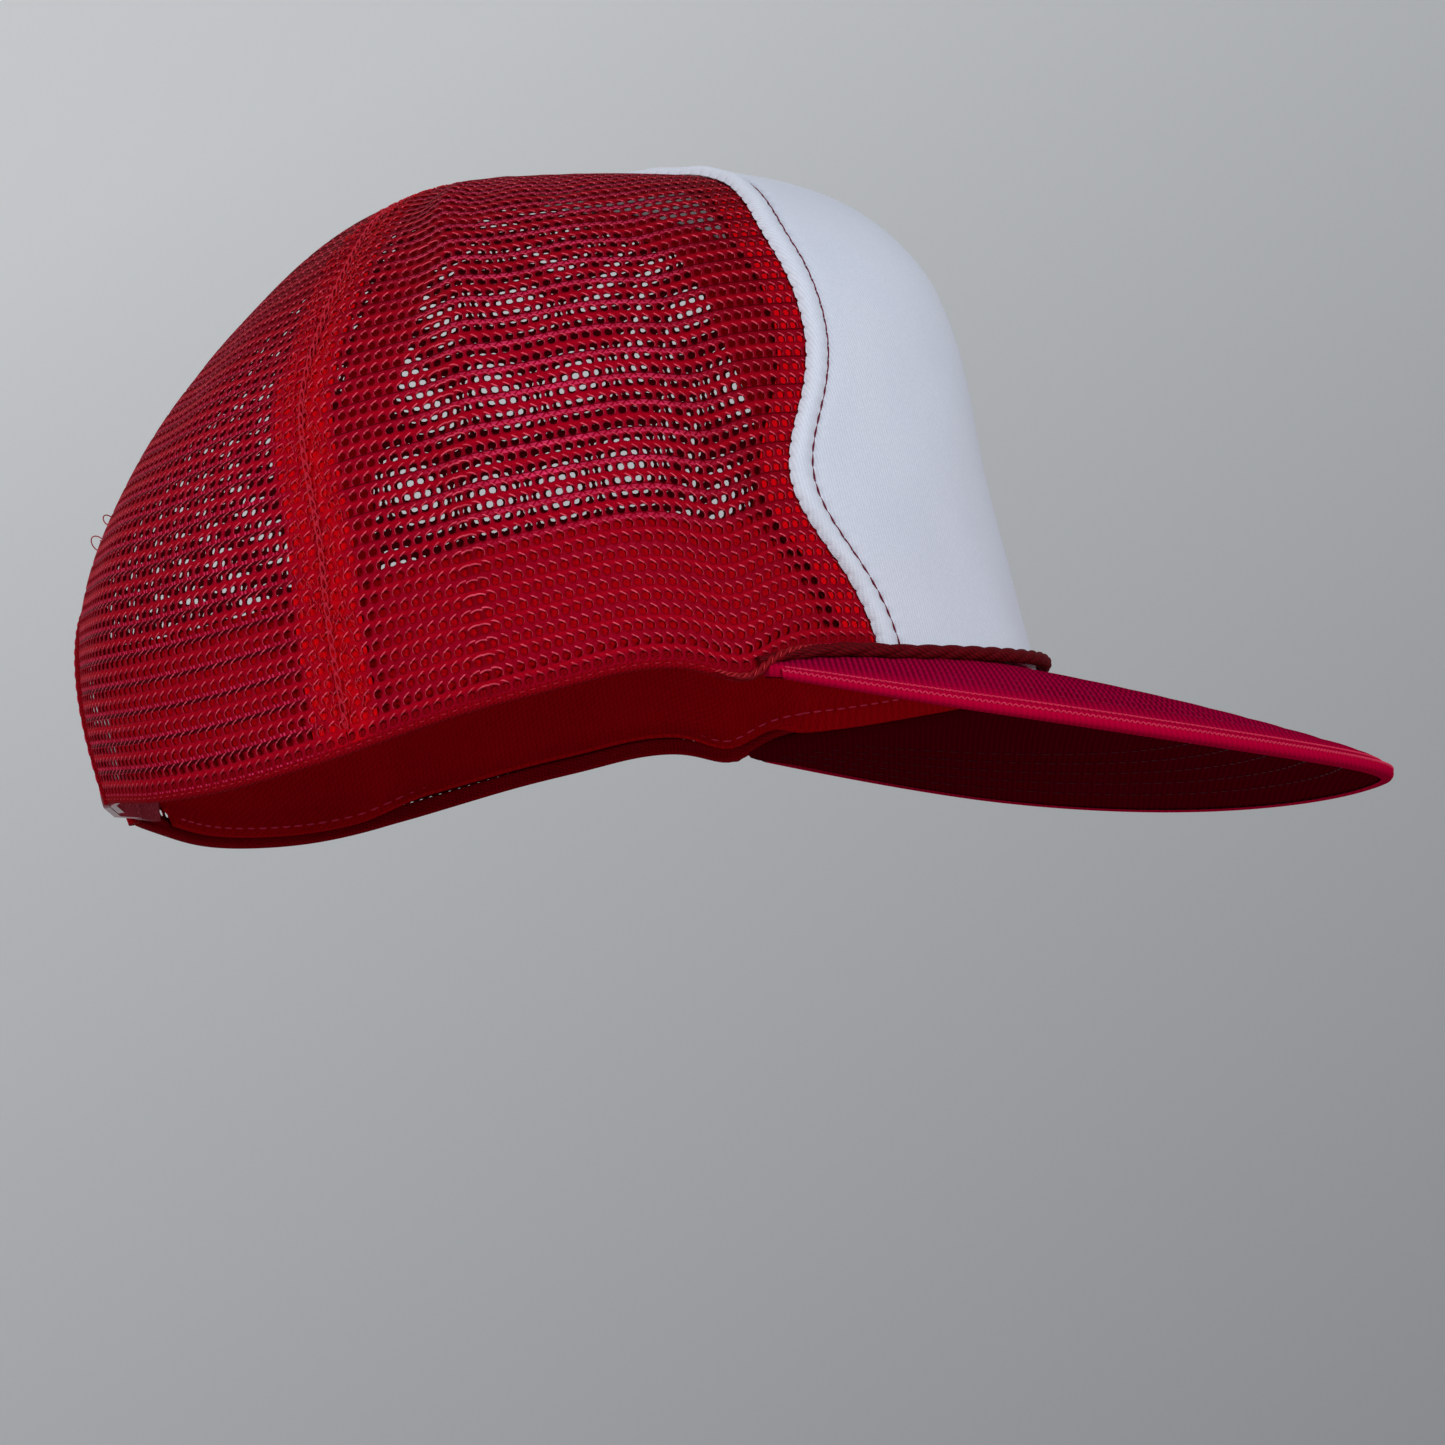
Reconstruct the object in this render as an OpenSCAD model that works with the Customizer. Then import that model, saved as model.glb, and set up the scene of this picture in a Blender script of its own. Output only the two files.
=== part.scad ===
// Trucker cap: foam front, net sides and back, roped bill and a snap strap.
// Millimetres. +X front, +Y wearer's left, +Z up, origin at the centre of the head opening.

/* [Build] */
// Piece to build, or all of them

/* [Crown] */
// Length of the rim from front to back
crown_length = 186; // [170:0.5:205]
// Width of the rim
crown_width = 162; // [145:0.5:180]
// Height of the crown over the rim, before the head's own bump
crown_height = 105; // [85:0.5:125]
// Place of the crown's highest seam point in front of the centre
apex_x = 8; // [-10:0.5:25]
// How square the crown is at the front
front_squareness = 3.9; // [2:0.05:5]
// How square the crown is at the sides
side_squareness = 2.85; // [2:0.05:5]
// How square the crown is at the back
back_squareness = 2.2; // [2:0.05:5]
// How flat the rim is at the back
back_flatness = 2.4; // [2:0.05:3]
// Swell of the front over a straight rise
front_swell = -0.04; // [-0.1:0.002:0.1]
// Swell of the sides
side_swell = 0.01; // [-0.1:0.002:0.1]
// Swell of the back
back_swell = 0.044; // [-0.1:0.002:0.1]
// Height of the bump that the head makes in the top
head_bump = 8; // [0:0.5:15]
// Place of that bump
bump_x = -14; // [-40:1:20]
// How far the rim hangs down behind the ears
back_dip = 7; // [0:0.5:12]
// How far the rim rises over the ears
ear_rise = 1.7; // [0:0.1:4]
// How far the rim rises at the temples, beside the bill's corners
temple_rise = 1; // [0:0.1:3]
// How far the rim hangs down over the middle of the bill
nose_dip = 3.3; // [0:0.1:8]

/* [Panels] */
// Thickness of the net
net_thick = 0.9; // [0.5:0.1:2]
// Share of the net's width and height that its openings take
net_open = 0.6; // [0.3:0.05:0.8]
// Openings across a side panel
side_openings = 9; // [4:1:12]
// Openings across a back panel, beside the two over the back opening
back_openings = 4; // [2:1:10]
// Rows of openings in the net
net_rows = 8; // [4:1:12]
// Thickness of the front's knit face
face_thick = 0.6; // [0.3:0.1:1.5]
// Thickness of the front's foam
foam_thick = 2.6; // [1:0.1:5]
// How far the front stands proud of the net
front_proud = 1.2; // [0:0.1:3]
// How far it still stands proud at the top
top_proud = 0.3; // [0:0.1:3]
// Gap kept between sewn pieces
seam_gap = 0.3; // [0.1:0.05:0.6]
// Gap kept between the plies of the front and of the bill
ply_gap = 0.15; // [0.1:0.01:0.3]
// Width of the seam tapes
tape_width = 12; // [6:0.5:20]
// Thickness of the seam tapes
tape_thick = 0.5; // [0.3:0.1:1]
// Height of the folded hem
hem_height = 3.4; // [2:0.2:8]
// Thickness of the folded hem
hem_thick = 1.9; // [1:0.1:3]
// Height of the sweatband's lower edge, in degrees of the crown's rise
sweat_low = 4; // [2:0.5:8]
// The same at the front, where it is sewn in over the bill
sweat_front_low = 1; // [0.5:0.1:4]
// Height of the sweatband's upper edge, in degrees of the crown's rise
sweat_high = 20; // [10:0.5:25]
// Thickness of the sweatband
sweat_thick = 1.2; // [0.6:0.1:3]

/* [Back opening] */
// Half the width of the opening, in degrees round the rim
arch_half = 15.6; // [10:0.2:25]
// Height of the opening, in degrees of the crown's rise
arch_rise = 24; // [15:0.5:35]
// Share of the opening that the binding leaves free
arch_clear = 0.84; // [0.7:0.01:0.95]

/* [Bill] */
// Place of the bill's tip
bill_tip = 160; // [140:0.5:185]
// Half the width of the bill
bill_half = 81.5; // [70:0.5:95]
// Place of the bill's widest line
bill_wide_x = 82.5; // [60:0.5:100]
// Share of its thickness that the bill keeps at its corners
bill_corner = 0.8; // [0.5:0.02:1]
// How far the tip hangs below the rim
bill_drop = 32.5; // [5:0.5:60]
// Shape of the bill's outline
bill_roundness = 1.8; // [1.5:0.05:2.5]
// Half the angle that the bill takes of the rim
bill_angle = 63; // [50:0.5:75]
// Rise of the bill's middle over a straight ramp
bill_camber = 1.5; // [0:0.1:8]
// Thickness of the bill's stiff board
board_thick = 1.8; // [1:0.1:3]
// Thickness of the bill's cloth covers
cover_thick = 0.7; // [0.4:0.1:1.5]
// Radius of the rope
rope_radius = 1.25; // [1:0.05:2.5]
// How far the rope stands up off the bill at the middle
rope_lift = 3; // [0:0.1:5]

/* [Snap strap] */
// Height of the straps
strap_height = 17; // [10:0.5:25]
// Height of the straps' lower edge over the rim plane
strap_low = -1; // [-5:0.5:8]
// Thickness of the straps
strap_thick = 1.2; // [0.8:0.1:2.5]
// How far the outer strap's middle lies inside the back of the rim
strap_inset = 0.5; // [-2:0.1:4]
// Gap between the two straps
strap_gap = 0.2; // [0.1:0.05:0.5]
// Place of the bend lines beside the centre
bend_y = 17.4; // [14:0.2:24]
// How far the bend lines lie inside the back of the rim
bend_inset = 3.7; // [2:0.1:8]
// Distance from peg to peg
peg_pitch = 7; // [5:0.25:10]
// Radius of a peg
peg_radius = 1.5; // [1:0.05:3]
// How far a peg stands out of the inner strap
peg_height = 2.6; // [1.5:0.1:4]
// Radius of a hole
hole_radius = 2.1; // [1.2:0.05:3.5]

/* [Hidden] */
$fn = 48;
half_length = crown_length / 2;
half_width = crown_width / 2;
panel_top = 88.8;
panel_rows = 18;
net_top = 74;
front_tape_top = 80;
side_tape_top = 76;
back_tape_top = 83;
sweat_end = 156;
hem_rise = asin(hem_height / crown_height);
panel_low = hem_rise + 0.25;
front_low = 0.12;
strap_back = half_length - strap_inset;
bend_back = half_length - bend_inset;
strap_peg_x = -strap_back + strap_thick + strap_gap;
cloth_red = [0.62, 0.04, 0.10];
net_red = [0.70, 0.06, 0.13];
plastic_red = [0.66, 0.10, 0.16];
knit_white = [0.92, 0.93, 0.96];

// small maths
function lerp(a, b, u) = a + (b - a) * u;
function clamp01(u) = min(1, max(0, u));
function ease(u) = let (c = clamp01(u)) c * c * (3 - 2 * c);
function bell(u) = exp(-u * u / 2);
function squared(u) = u * u;
function unit(v) = v / norm(v);

// rim of the head opening, by the angle round it
function rim_power(phi) = cos(phi) >= 0 ? 2 : back_flatness;
function rim_radius(phi) = let (n = rim_power(phi))
    pow(pow(abs(cos(phi)) / half_length, n) + pow(abs(sin(phi)) / half_width, n), -1 / n);
function from_front(phi) = acos(cos(phi));
function root_height(phi) = let (away = from_front(phi))
    temple_rise * bell((away - 56) / 6) - nose_dip * (1 - ease(away / 52));
function rim_height(phi) = root_height(phi) + ear_rise * bell((from_front(phi) - 80) / 7)
    - (cos(phi) < 0 ? back_dip * squared(sin(2 * phi)) : 0);

// crown surface, by the angle round the rim and the angle of rise
function by_side(phi, front, side, back) =
    side + (cos(phi) > 0 ? front - side : back - side) * squared(cos(phi));
function crown_power(phi) = by_side(phi, front_squareness, side_squareness, back_squareness);
function crown_reach(phi, psi) = let (n = crown_power(phi)) pow(pow(cos(psi), n) + pow(sin(psi), n), -1 / n);
function crown_share(phi, psi) = let (
        k = crown_reach(phi, psi),
        swell = by_side(phi, front_swell, side_swell, back_swell))
    cos(psi) * k * (1 + swell * sin(180 * clamp01(sin(psi) * k / 0.75)));
function crown(phi, psi) = let (
        share = crown_share(phi, psi),
        lift = sin(psi) * crown_reach(phi, psi),
        x = apex_x + (rim_radius(phi) * cos(phi) - apex_x) * share,
        y = rim_radius(phi) * sin(phi) * share,
        bump = head_bump * bell((x - bump_x) / 32) * bell(y / 45) * pow(lift, 4))
    [x, y, lerp(rim_height(phi), crown_height, lift) + bump];
function crown_normal(phi, psi) =
    unit(cross(crown(phi + 0.4, psi) - crown(phi - 0.4, psi),
               crown(phi, min(psi + 0.4, 89.6)) - crown(phi, max(psi - 0.4, 0))));
function inside(phi, psi, depth) = crown(phi, psi) - depth * crown_normal(phi, psi);
function degrees_for(width, phi, psi) = width / (crown_share(phi, psi) * rim_radius(phi)) * 180 / PI;

// seam lines of the five panels
function front_seam(psi) = 45.9 + 9.0 * bell((psi - 18) / 7) - 11 * ease((psi - 42) / 24);
function side_seam(psi) = 118.2 + 4 * ease((psi - 18) / 20) + 14 * ease((psi - 46) / 44);
function seam_inset(phi, psi, inset) = degrees_for(inset, phi, psi);
function arch_line(phi) = let (u = (180 - phi) / arch_half) u >= 1 ? 0 : arch_rise * sqrt(1 - u * u);

// a sheet with two faces, from two grids of points
module sheet(outer, inner) {
    m = len(outer) - 1;
    n = len(outer[0]) - 1;
    t = (m + 1) * (n + 1);
    function at(i, j) = i * (n + 1) + j;
    function quad(a, b, c, d) = [[a, b, c], [a, c, d]];
    faces = concat(
        [for (i = [0 : m - 1], j = [0 : n - 1])
            each quad(at(i, j), at(i, j + 1), at(i + 1, j + 1), at(i + 1, j))],
        [for (i = [0 : m - 1], j = [0 : n - 1])
            each quad(t + at(i, j), t + at(i + 1, j), t + at(i + 1, j + 1), t + at(i, j + 1))],
        [for (i = [0 : m - 1]) each quad(at(i, 0), at(i + 1, 0), t + at(i + 1, 0), t + at(i, 0))],
        [for (i = [0 : m - 1]) each quad(at(i + 1, n), at(i, n), t + at(i, n), t + at(i + 1, n))],
        [for (j = [0 : n - 1]) each quad(at(0, j + 1), at(0, j), t + at(0, j), t + at(0, j + 1))],
        [for (j = [0 : n - 1]) each quad(at(m, j), at(m, j + 1), t + at(m, j + 1), t + at(m, j))]);
    polyhedron([each [for (row = outer) each row], each [for (row = inner) each row]], faces);
}

// a sheet with openings in every second row of its open columns
module open_sheet(outer, inner, open) {
    m = len(outer) - 1;
    n = len(outer[0]) - 1;
    t = (m + 1) * (n + 1);
    function at(i, j) = i * (n + 1) + j;
    function quad(a, b, c, d) = [[a, b, c], [a, c, d]];
    function gap(i, j) = i < 0 || j < 0 || i >= m || j >= n || (open[i] && j % 2 == 1 && j < n - top_rows + 1);
    faces = [for (i = [0 : m - 1], j = [0 : n - 1]) if (!gap(i, j)) let (
            a = at(i, j), b = at(i, j + 1), c = at(i + 1, j + 1), d = at(i + 1, j))
        each concat(
            quad(a, b, c, d),
            quad(t + a, t + d, t + c, t + b),
            gap(i, j - 1) ? quad(a, d, t + d, t + a) : [],
            gap(i, j + 1) ? quad(c, b, t + b, t + c) : [],
            gap(i - 1, j) ? quad(b, a, t + a, t + b) : [],
            gap(i + 1, j) ? quad(d, c, t + c, t + d) : [])];
    polyhedron([each [for (row = outer) each row], each [for (row = inner) each row]], faces);
}

// where the strips and openings of a net begin, as shares of its width
function net_lines(openings, start, end) = let (
        pitch = (end - start) / openings,
        side = (1 - net_open) / 2)
    [for (k = [0 : openings - 1]) each [start + (k + side) * pitch, start + (k + 1 - side) * pitch]];
function net_flags(openings) = [for (k = [0 : openings - 1]) each [false, true]];
function rise(j, low) = lerp(low, panel_top, j / panel_rows);
row_lines = concat([0], net_lines(net_rows, 0.02, 0.98));
top_rows = 3;
row_last = len(row_lines) + top_rows - 1;
function net_rise(j, low) = j < len(row_lines) ? lerp(low, net_top, row_lines[j])
    : lerp(net_top, panel_top, (j - len(row_lines) + 1) / top_rows);

// front panel, which sinks to the net towards the top
function sink(psi) = (front_proud - top_proud) * ease((psi - 58) / 22);
function front_grid(depth, inset, columns) = [for (i = [0 : columns]) [for (j = [0 : panel_rows])
    let (psi = rise(j, front_low), edge = front_seam(psi), half = edge - seam_inset(edge, psi, inset))
    inside(lerp(-half, half, i / columns), psi, depth + sink(psi))]];

module front_panel_face() {
    color(knit_white)
        sheet(front_grid(-front_proud, seam_gap / 2, 14), front_grid(face_thick - front_proud, seam_gap / 2, 14));
}

foam_top = face_thick - front_proud + 2 * ply_gap;

module front_panel_foam() {
    color([0.85, 0.86, 0.88])
        sheet(front_grid(foam_top, 1.2, 14), front_grid(foam_top + foam_thick, 1.2, 14));
}

// net panels of the left side
function side_column(u, psi) = let (a = front_seam(psi), b = side_seam(psi))
    lerp(a + seam_inset(a, psi, seam_gap / 2), b - seam_inset(b, psi, seam_gap / 2), u);
side_lines = concat([0], net_lines(side_openings, 0.05, 0.95), [1]);
function side_grid(depth) = [for (u = side_lines) [for (j = [0 : row_last])
    let (psi = net_rise(j, panel_low))
    inside(side_column(u, psi), psi, depth)]];

module left_side_mesh() {
    color(net_red)
        open_sheet(side_grid(0), side_grid(net_thick), concat(net_flags(side_openings), [false]));
}

function back_column(u, psi) = let (a = side_seam(psi), b = 180)
    lerp(a + seam_inset(a, psi, seam_gap / 2), b - seam_inset(b, psi, seam_gap / 2), u);
arch_start = 1 - arch_half / (180 - side_seam(0));
arch_lines = [0, 0.05, 0.16, 0.31, 0.56, 0.70, 0.92, 1];
arch_flags = [false, false, false, true, false, true, false];
back_lines = concat([0], net_lines(back_openings, 0.06, arch_start - 0.03),
                    [for (u = arch_lines) lerp(arch_start, 1, u)]);
function back_grid(depth) = [for (u = back_lines) [for (j = [0 : row_last])
    let (
        foot = max(panel_low, arch_line(back_column(u, 0))),
        psi = net_rise(j, foot))
    inside(back_column(u, psi), psi, depth)]];

module left_back_mesh() {
    color(net_red)
        open_sheet(back_grid(0), back_grid(net_thick), concat(net_flags(back_openings), [false], arch_flags));
}

// seam tapes on the inside
function tape_grid(side, depth, low, high) = [for (i = [0 : 2]) [for (j = [0 : panel_rows])
    let (
        psi = lerp(low, high, j / panel_rows),
        middle = side == 0 ? front_seam(psi) : side == 1 ? side_seam(psi) : 180,
        half = degrees_for(tape_width / 2, middle, psi))
    inside(lerp(middle - half, middle + half, i / 2), psi, depth + (side == 0 ? sink(psi) : 0))]];

module left_front_seam_tape() {
    top = foam_top + foam_thick + 1.5 * seam_gap;
    color(cloth_red)
        sheet(tape_grid(0, top, panel_low, front_tape_top), tape_grid(0, top + tape_thick, panel_low, front_tape_top));
}

module left_side_seam_tape() {
    top = net_thick + 2 * seam_gap;
    color(cloth_red)
        sheet(tape_grid(1, top, panel_low, side_tape_top), tape_grid(1, top + tape_thick, panel_low, side_tape_top));
}

module center_back_seam_tape() {
    top = net_thick + 2 * seam_gap;
    color(cloth_red)
        sheet(tape_grid(2, top, arch_rise + 1, back_tape_top),
              tape_grid(2, top + tape_thick, arch_rise + 1, back_tape_top));
}

// folded hem along the rim
function hem_grid(depth) = [for (i = [0 : 26]) [for (j = [0 : 1])
    inside(lerp(front_seam(hem_rise) + 0.3, 180 - arch_half, i / 26), hem_rise * j, depth)]];

module left_hem() {
    color(cloth_red)
        sheet(hem_grid(-0.5), hem_grid(hem_thick - 0.5));
}

// binding round the back opening
function arch_grid(depth) = [for (i = [0 : 24]) [for (j = [0 : 2])
    let (s = lerp(arch_clear, 0.98, j / 2), a = 180 * i / 24)
    inside(180 - arch_half * s * cos(a), arch_rise * s * sin(a), depth)]];

module back_arch_binding() {
    color(cloth_red)
        sheet(arch_grid(-0.6), arch_grid(1.6));
}

// sweatband inside the rim
sweat_front = foam_top + foam_thick + tape_thick + 3 * seam_gap;
sweat_side = net_thick + tape_thick + 3 * seam_gap;
function sweat_foot(phi) = let (by_ear = lerp(sweat_front_low, sweat_low - 1, ease((abs(phi) - 58) / 16)))
    lerp(by_ear, sweat_front_low, ease((abs(phi) - 112) / 12));
function sweat_grid(thick) = [for (i = [0 : 44]) [for (j = [0 : 2])
    let (phi = lerp(-sweat_end, sweat_end, i / 44), depth = lerp(sweat_front, sweat_side, ease((abs(phi) - 66) / 10)))
    inside(phi, lerp(sweat_foot(phi), sweat_high, j / 2), depth + thick)]];

module sweatband() {
    color(cloth_red)
        sheet(sweat_grid(0), sweat_grid(sweat_thick));
}

// bill: a ramp from the rim to the outline, s from one temple to the other, r from rim to edge
bill_half_thick = board_thick / 2 + ply_gap + cover_thick;
corner_x = bill_wide_x - 42;
corner_y = bill_half - 4;
bill_rows = 34;
bill_columns = 6;
function bill_outline(s) = let (
        k = abs(s) / 0.8,
        a = 90 * min(1, k),
        u = max(0, (abs(s) - 0.8) / 0.2),
        power = 2 / bill_roundness,
        x = k <= 1 ? lerp(bill_wide_x, bill_tip, pow(cos(a), power)) : lerp(bill_wide_x, corner_x, u),
        y = k <= 1 ? bill_half * pow(sin(a), power) : lerp(bill_half, corner_y, u * u))
    [x, sign(s) * y];
function bill_taper(s) = lerp(bill_corner, 1, ease((1 - abs(s)) / 0.22));
function bill_edge(s) = let (
        p = bill_outline(s),
        run = (p[0] - corner_x) / (bill_tip - corner_x),
        fall = 2.2 + (bill_drop - 2.2) * (1 - pow(max(0, 1 - run), 1.4)))
    [p[0], p[1], -fall];
function bill_root(s) = let (phi = bill_angle * s, r = rim_radius(phi) - 0.5)
    [r * cos(phi), r * sin(phi), root_height(phi) - 0.25 - bill_half_thick * bill_taper(s)];
function bill_out(s) = let (d = bill_outline(min(1, s + 0.01)) - bill_outline(max(-1, s - 0.01)))
    unit([d[1], -d[0], 0]);
function bill_point(s, r, up) = lerp(bill_root(s), bill_edge(s), r)
    + [0, 0, up * bill_taper(s) + bill_camber * 4 * r * (1 - r) * (1 - s * s)];
function bill_grid(up, last) = [for (i = [0 : bill_rows]) [for (j = [0 : bill_columns])
    bill_point(1 - 2 * i / bill_rows, min(last, j / bill_columns), up)]];

// the top cover goes on round the edge, by steps out and down
function lip(s, out, up) = bill_edge(s) + out * bill_out(s) + [0, 0, up * bill_taper(s)];
function lip_outer(s) = [lip(s, 0.8, bill_half_thick - 0.9), lip(s, 0.95, 0), lip(s, 0.55, -bill_half_thick)];
function lip_inner(s) = [lip(s, 0.25, board_thick / 2), lip(s, 0.3, 0), lip(s, 0.2, -board_thick / 2 - ply_gap)];
function cover_grid(up, outer) = [for (i = [0 : bill_rows]) let (s = 1 - 2 * i / bill_rows)
    concat([for (j = [0 : bill_columns]) bill_point(s, j / bill_columns, up)], outer ? lip_outer(s) : lip_inner(s))];

module bill_top_cover() {
    color(cloth_red)
        sheet(cover_grid(bill_half_thick, true), cover_grid(bill_half_thick - cover_thick, false));
}

module bill_board() {
    color([0.93, 0.92, 0.88])
        sheet(bill_grid(board_thick / 2, 0.992), bill_grid(-board_thick / 2, 0.992));
}

module bill_bottom_cover() {
    top = -board_thick / 2 - ply_gap;
    color(0.6 * cloth_red)
        sheet(bill_grid(top, 1), bill_grid(top - cover_thick, 1));
}

// rope along the foot of the front
rope_sides = 8;
function rope_width(phi) = rope_radius * (1 - 0.4 * ease((abs(phi) - 50) / 13));
function rope_middle(phi) = let (
        out = lerp(front_proud, 0.6, ease((abs(phi) - 44) / 12)),
        height = rope_radius - 1.2 + rope_lift * bell(phi / 15) + 0.5 * ease((abs(phi) - 42) / 14),
        side = inside(phi, 0, -out - seam_gap - rope_width(phi)))
    [side[0], side[1], root_height(phi) + height];
function rope_ring(phi) = let (
        c = rope_middle(phi),
        along = unit(rope_middle(phi + 0.5) - rope_middle(phi - 0.5)),
        out = unit(cross(along, [0, 0, 1])),
        up = cross(out, along))
    [for (k = [0 : rope_sides - 1]) let (turn = 360 * k / rope_sides)
        c + rope_width(phi) * (cos(turn) * out + sin(turn) * up)];

module rope() {
    steps = 36;
    rings = [for (i = [0 : steps]) rope_ring(lerp(-bill_angle - 1, bill_angle + 1, i / steps))];
    function at(i, k) = i * rope_sides + (k % rope_sides);
    faces = concat(
        [for (i = [0 : steps - 1], k = [0 : rope_sides - 1])
            each [[at(i, k), at(i, k + 1), at(i + 1, k + 1)], [at(i, k), at(i + 1, k + 1), at(i + 1, k)]]],
        [[for (k = [rope_sides - 1 : -1 : 0]) at(0, k)]],
        [[for (k = [0 : rope_sides - 1]) at(steps, k)]]);
    color(0.6 * cloth_red)
        polyhedron([for (ring = rings) each ring], faces);
}

// snap strap: plan outline of a strap along its middle line
module strap_plan(line) {
    half = strap_thick / 2;
    polygon(concat(
        [for (p = line) p + [half, 0]],
        [for (k = [len(line) - 1 : -1 : 0]) line[k] - [half, 0]]));
}

module strap_slab(line) {
    translate([0, 0, strap_low])
        linear_extrude(strap_height)
            strap_plan(line);
}

// side view of a strap's free length, with its end rounded
module strap_face(root, tip) {
    round = 5;
    way = sign(tip - root);
    translate([-strap_back - 10, 0, strap_low + strap_height / 2])
        rotate([90, 0, 90])
            linear_extrude(20)
                union() {
                    translate([min(root, tip - way * round), -strap_height / 2])
                        square([abs(tip - way * round - root), strap_height]);
                    translate([min(tip - way * round, tip), -strap_height / 2 + round])
                        square([round, strap_height - 2 * round]);
                    for (k = [-1, 1])
                        translate([tip - way * round, k * (strap_height / 2 - round)])
                            circle(round);
                }
}

module along_x(x, y, length, radius) {
    translate([x, y, strap_low + strap_height / 2])
        rotate([0, 90, 0])
            cylinder(h = length, r = radius);
}

module peg(y) {
    face = strap_peg_x - strap_thick / 2;
    straight = peg_height - peg_radius;
    translate([face + 0.3, y, strap_low + strap_height / 2])
        rotate([0, -90, 0])
            rotate_extrude()
                union() {
                    square([peg_radius, straight + 0.3]);
                    translate([0, straight + 0.3])
                        intersection() {
                            circle(peg_radius);
                            square(peg_radius);
                        }
                }
}

peg_root = -bend_y;
peg_tip = 0.5 * peg_pitch + 4;
hole_tip = -1.5 * peg_pitch - 5;

// round root of a strap, on its bend line
module strap_root(y) {
    translate([-bend_back, y, strap_low])
        cylinder(h = strap_height, r = strap_thick / 2);
}

module peg_strap() {
    color(plastic_red) {
        intersection() {
            strap_slab([[-bend_back, peg_root], [strap_peg_x, -1.5 * peg_pitch - 2], [strap_peg_x, peg_tip]]);
            strap_face(peg_root, peg_tip);
        }
        strap_root(peg_root);
        for (k = [-1.5, -0.5, 0.5])
            peg(k * peg_pitch);
    }
}

module hole_strap() {
    color(plastic_red)
        difference() {
            union() {
                intersection() {
                    strap_slab([[-strap_back, hole_tip], [-strap_back, bend_y - 8.6], [-bend_back, bend_y]]);
                    strap_face(bend_y, hole_tip);
                }
                strap_root(bend_y);
            }
            for (k = [-1.5, -0.5, 0.5])
                along_x(-strap_back - 2, k * peg_pitch, 4, hole_radius);
        }
}

// ends of the straps that are sewn in under the net
end_line = [[-bend_back + 0.1, bend_y + strap_thick / 2 + 0.2], [-bend_back + 0.1, bend_y + 3],
            [-bend_back + 2.9, bend_y + 12.6]];

module hole_strap_end() {
    color(plastic_red)
        strap_slab(end_line);
}

module peg_strap_end() {
    color(plastic_red)
        mirror([0, 1, 0])
            strap_slab(end_line);
}

// the right half of the crown mirrors the left
module right_side_mesh() { mirror([0, 1, 0]) left_side_mesh(); }
module right_back_mesh() { mirror([0, 1, 0]) left_back_mesh(); }
module right_front_seam_tape() { mirror([0, 1, 0]) left_front_seam_tape(); }
module right_side_seam_tape() { mirror([0, 1, 0]) left_side_seam_tape(); }
module right_hem() { mirror([0, 1, 0]) left_hem(); }

front_panel_face();
front_panel_foam();
left_side_mesh();
right_side_mesh();
left_back_mesh();
right_back_mesh();
left_front_seam_tape();
right_front_seam_tape();
left_side_seam_tape();
right_side_seam_tape();
center_back_seam_tape();
left_hem();
right_hem();
back_arch_binding();
sweatband();
bill_board();
bill_top_cover();
bill_bottom_cover();
rope();
peg_strap_end();
hole_strap_end();
peg_strap();
hole_strap();
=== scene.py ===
"""Looks of a trucker cap: foam front, net sides and back, roped bill and a snap strap."""
import math

import bpy
import numpy as np
from mathutils import Matrix, Vector


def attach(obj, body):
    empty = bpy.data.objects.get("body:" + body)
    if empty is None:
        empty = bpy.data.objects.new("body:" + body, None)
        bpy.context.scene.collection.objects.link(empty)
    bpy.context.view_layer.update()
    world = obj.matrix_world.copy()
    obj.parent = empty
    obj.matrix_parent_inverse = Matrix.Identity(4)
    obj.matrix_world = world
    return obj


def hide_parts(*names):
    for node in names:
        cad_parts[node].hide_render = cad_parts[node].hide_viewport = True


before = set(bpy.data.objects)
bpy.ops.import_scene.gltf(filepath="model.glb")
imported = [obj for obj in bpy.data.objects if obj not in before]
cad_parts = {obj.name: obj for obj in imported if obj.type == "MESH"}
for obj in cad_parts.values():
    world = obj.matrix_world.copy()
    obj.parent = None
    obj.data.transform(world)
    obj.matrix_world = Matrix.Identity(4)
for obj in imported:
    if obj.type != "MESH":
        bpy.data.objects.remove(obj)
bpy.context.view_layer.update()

# Sizes in millimetres and degrees; crown, seams and bill follow the solids, but for the droop at the temples
MM = 0.001
half_length = 93.0
half_width = 81.0
crown_height = 105.0
apex_x = 8.0
back_flatness = 2.4
crown_bump = 8.0
bump_x = -14.0
ear_rise = 1.7
temple_rise = 1.0
temple_droop = 3.2
back_dip = 7.0
nose_dip = 3.3
panel_top = 88.8
front_proud = 1.2
top_proud = 0.3
front_low = 0.12
front_pitch = 2.95
welt_room = 16.0
foam_top = -0.3
foam_thick = 2.6
tape_half = 6.0
front_tape_depth = 2.75
side_tape_depth = 1.5
tape_thick = 0.45
tape_low = 2.2
allowance_depth = 0.55
allowance_thick = 0.3
chain_pitch = 2.6
hem_rise = 1.86
hem_depth = 0.75
arch_half = 15.6
arch_rise = 24.0
arch_clear = 0.84
sweat_low = 2.0
sweat_high = 15.8
sweat_end = 156.0
sweat_front = 3.7
sweat_side = 0.4
sweat_front_low = 1.0
sweat_thick = 1.1
bill_tip = 160.0
bill_half = 81.5
bill_wide_x = 82.5
bill_drop = 32.5
bill_corner_drop = 2.2
bill_roundness = 1.8
bill_angle = 63.0
bill_camber = 1.5
bill_half_thick = 1.75
bill_cloth_thick = 0.5
corner_x = 40.5
corner_y = 77.5
quilt_clear = 3.0
rope_radius = 1.25
rope_lift = 3.0
rope_lay = 20.0
net_pitch = 2.18
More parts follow.
